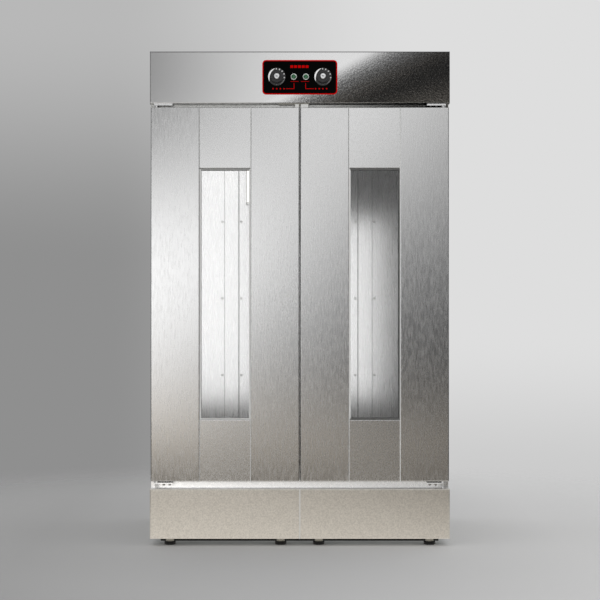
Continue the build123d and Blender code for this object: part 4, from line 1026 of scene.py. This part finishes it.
# %% World
world = bpy.data.worlds.new("studio")
bpy.context.scene.world = world
world.use_nodes = True
world.cycles.sampling_method = "NONE"
tree = world.node_tree
add = adder(tree)
direction = add("SeparateXYZ", {"Vector": add("TexCoord").outputs["Generated"]})
x, z = direction.outputs["X"], direction.outputs["Z"]
across = add("MapRange", {"Value": x, "From Min": -0.11, "From Max": 0.08}, **SMOOTH)
high = add("MapRange", {"Value": z, "From Min": 0.02, "From Max": 0.17}, **SMOOTH)
low = add("MapRange", {"Value": z, "From Min": -0.11, "From Max": -0.02}, **SMOOTH)
left = add("Mix", {"Factor": high, "A": "8F8F8F", "B": "B8B8B8"}, **COLOUR)
right = add("Mix", {"Factor": low, "A": "CBCBCB", "B": "DEDEDE"}, **COLOUR)
wall = add("Mix", {"Factor": across, "A": left, "B": right}, **COLOUR)
up = add("MapRange", {"Value": z, "From Min": 0.0, "From Max": 0.6}, **SMOOTH)
room = add("Mix", {"Factor": up, "A": neutral(0.3), "B": neutral(0.9)}, **COLOUR)
path = add("LightPath")
glass = path.outputs["Is Transmission Ray"]
once = add("Math", {0: path.outputs["Glossy Depth"], 1: 1.0}, operation="MINIMUM")
lit = add("Mix", {"Factor": once, "A": neutral(0.75), "B": room}, **COLOUR)
behind = add("Math", {0: glass, 1: once}, operation="MULTIPLY")
unlit = add("Mix", {"Factor": behind, "A": lit, "B": neutral(0.05)}, **COLOUR)
through = add("Math", {0: glass, 1: once}, operation="GREATER_THAN")
straight = add("Math", {0: path.outputs["Is Camera Ray"], 1: through}, operation="MAXIMUM")
seen = add("Mix", {"Factor": straight, "A": unlit, "B": wall}, **COLOUR)
wire(tree.nodes["Background"], {"Color": seen})
print("nodes in the world:", len(tree.nodes))

# %% [markdown]
# The chamber needs light of its own, because shut doors keep the room's light out. Two soft area lamps
# behind the doors face the back wall, so its satin sheet mirrors them as a bright field behind the
# left window and as a softer one behind the right. The slot between base and doors is as deep as it is
# tall, so it gets small lamps of its own as well, linked to the sheets in the slot and to nothing
# else. The camera doesn't see the lamps themselves.

# %% Lamps
def soft_light(name, place, target, size, radiance):
    """A rectangular lamp of a width and height in metres, aimed at a target and unseen by the camera."""
    data = bpy.data.lights.new(name, "AREA")
    data.shape = "RECTANGLE"
    data.size, data.size_y = size
    data.energy = radiance * math.pi * size[0] * size[1]
    lamp = bpy.data.objects.new(name, data)
    bpy.context.scene.collection.objects.link(lamp)
    lamp.location = place
    lamp.rotation_euler = (Vector(target) - Vector(place)).to_track_quat("-Z", "Y").to_euler()
    lamp.visible_camera = False
    lamp.visible_transmission = False
    return lamp


soft_light("chamber_glow_left", (-0.3, -0.2, 0.918), (-0.3, 0.4, 0.918), (0.33, 1.025), 1.33)
soft_light("chamber_glow_right", (0.155, -0.2, 0.785), (0.155, 0.4, 0.785), (0.37, 0.73), 1.25)
# Three short lamps face the ledge between the base and the doors. The left one is the weakest,
# because the card already shines on that end.
LEDGE_Y, LEDGE_Z = -0.42, 0.209
ledge = bpy.data.collections.new("lit_by_ledge_glow")
for node in ("face_frame", "base_deck", "hinge_brackets"):
    ledge.objects.link(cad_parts[node])
for x, radiance in ((-0.32, 0.48), (0.0, 0.55), (0.32, 0.55)):
    lamp = soft_light("ledge_glow", (x, LEDGE_Y, LEDGE_Z), (x, 0, LEDGE_Z), (0.33, 0.036), radiance)
    lamp.light_linking.receiver_collection = ledge
print("lamps:", len(bpy.data.lights))

# %% [markdown]
# A diffuser card is the main tool for lighting sheet metal: a large sheet of white cloth, lit in
# patches from behind, that stands in front of the object and shows only in its reflections. Each patch
# is a soft round glow with its own place and strength. The cloth's foot picks up the floor's warmth.

# %% Diffuser card
CARD_Y = -2.95
CARD_BASE = 0.04           # the radiance between the glows
GLOW_REACH = (1.15, 0.95)  # metres across and up from a glow's middle to its rim
CARD_GLOWS = [  # x, z, radiance
    (-0.35, -0.15, 0.8), (0.35, -0.35, 1.95), (1.1, -0.35, 1.05),
    (-1.1, 0.45, 2.7), (-0.35, 0.45, 0.44),
    (-1.1, 1.05, 2.55), (-0.35, 1.05, 2.45), (1.1, 1.1, 0.45),
    (-0.35, 1.7, 0.68), (0.35, 1.7, 1.99),
    (-0.35, 2.4, 1.29), (0.35, 2.4, 1.15), (1.1, 2.4, 2.23), (1.9, 2.4, 0.35),
]
card = start("diffuser_card", bpy.ops.mesh.primitive_plane_add, (8, 3.6, 1), size=1,
             location=(0, CARD_Y, 1.4), rotation=(math.radians(90), 0, 0))
material = bpy.data.materials.new("card_glow")
material.use_nodes = True
tree = material.node_tree
tree.nodes.clear()
add = adder(tree)
place = add("TexCoord").outputs["Object"]
total = CARD_BASE
for x, z, radiance in CARD_GLOWS:
    spot = add("Mapping", {"Vector": place, "Location": (x, 0, z),
                           "Scale": (GLOW_REACH[0], 10, GLOW_REACH[1])}, vector_type="TEXTURE")
    glow = add("TexGradient", {"Vector": spot}, gradient_type="QUADRATIC_SPHERE")
    total = add("Math", {0: glow.outputs["Fac"], 1: radiance, 2: total}, operation="MULTIPLY_ADD")
height = add("SeparateXYZ", {0: place}).outputs["Z"]
foot = add("MapRange", {"Value": height, "From Min": 0.0, "From Max": 0.5})
cloth = add("Mix", {"Factor": foot, "A": (1.12, 0.98, 0.8, 1), "B": neutral(1)}, **COLOUR)
glow = add("Emission", {"Strength": total, "Color": cloth})
add("OutputMaterial", {"Surface": glow})
material.cycles.emission_sampling = "NONE"
card.data.materials.append(material)
for key in ("camera", "diffuse", "transmission", "volume_scatter", "shadow"):
    setattr(card, "visible_" + key, False)
print("card glows:", len(CARD_GLOWS))

# %% [markdown]
# The camera stands six metres off at half the cabinet's height and looks straight ahead, so upright
# edges stay upright and level edges stay level.

# %% Camera
camera = bpy.data.objects.new("camera", bpy.data.cameras.new("camera"))
bpy.context.scene.collection.objects.link(camera)
camera.location = (-0.043, -5.854, 0.8213)
camera.rotation_euler = (math.radians(90), 0, 0)
camera.data.lens = 99
camera.data.sensor_width = 36
camera.data.shift_x = 0.0218
bpy.context.scene.camera = camera
bpy.context.scene.view_settings.view_transform = "Standard"
print("the camera sees", round(math.degrees(camera.data.angle), 1), "degrees across")
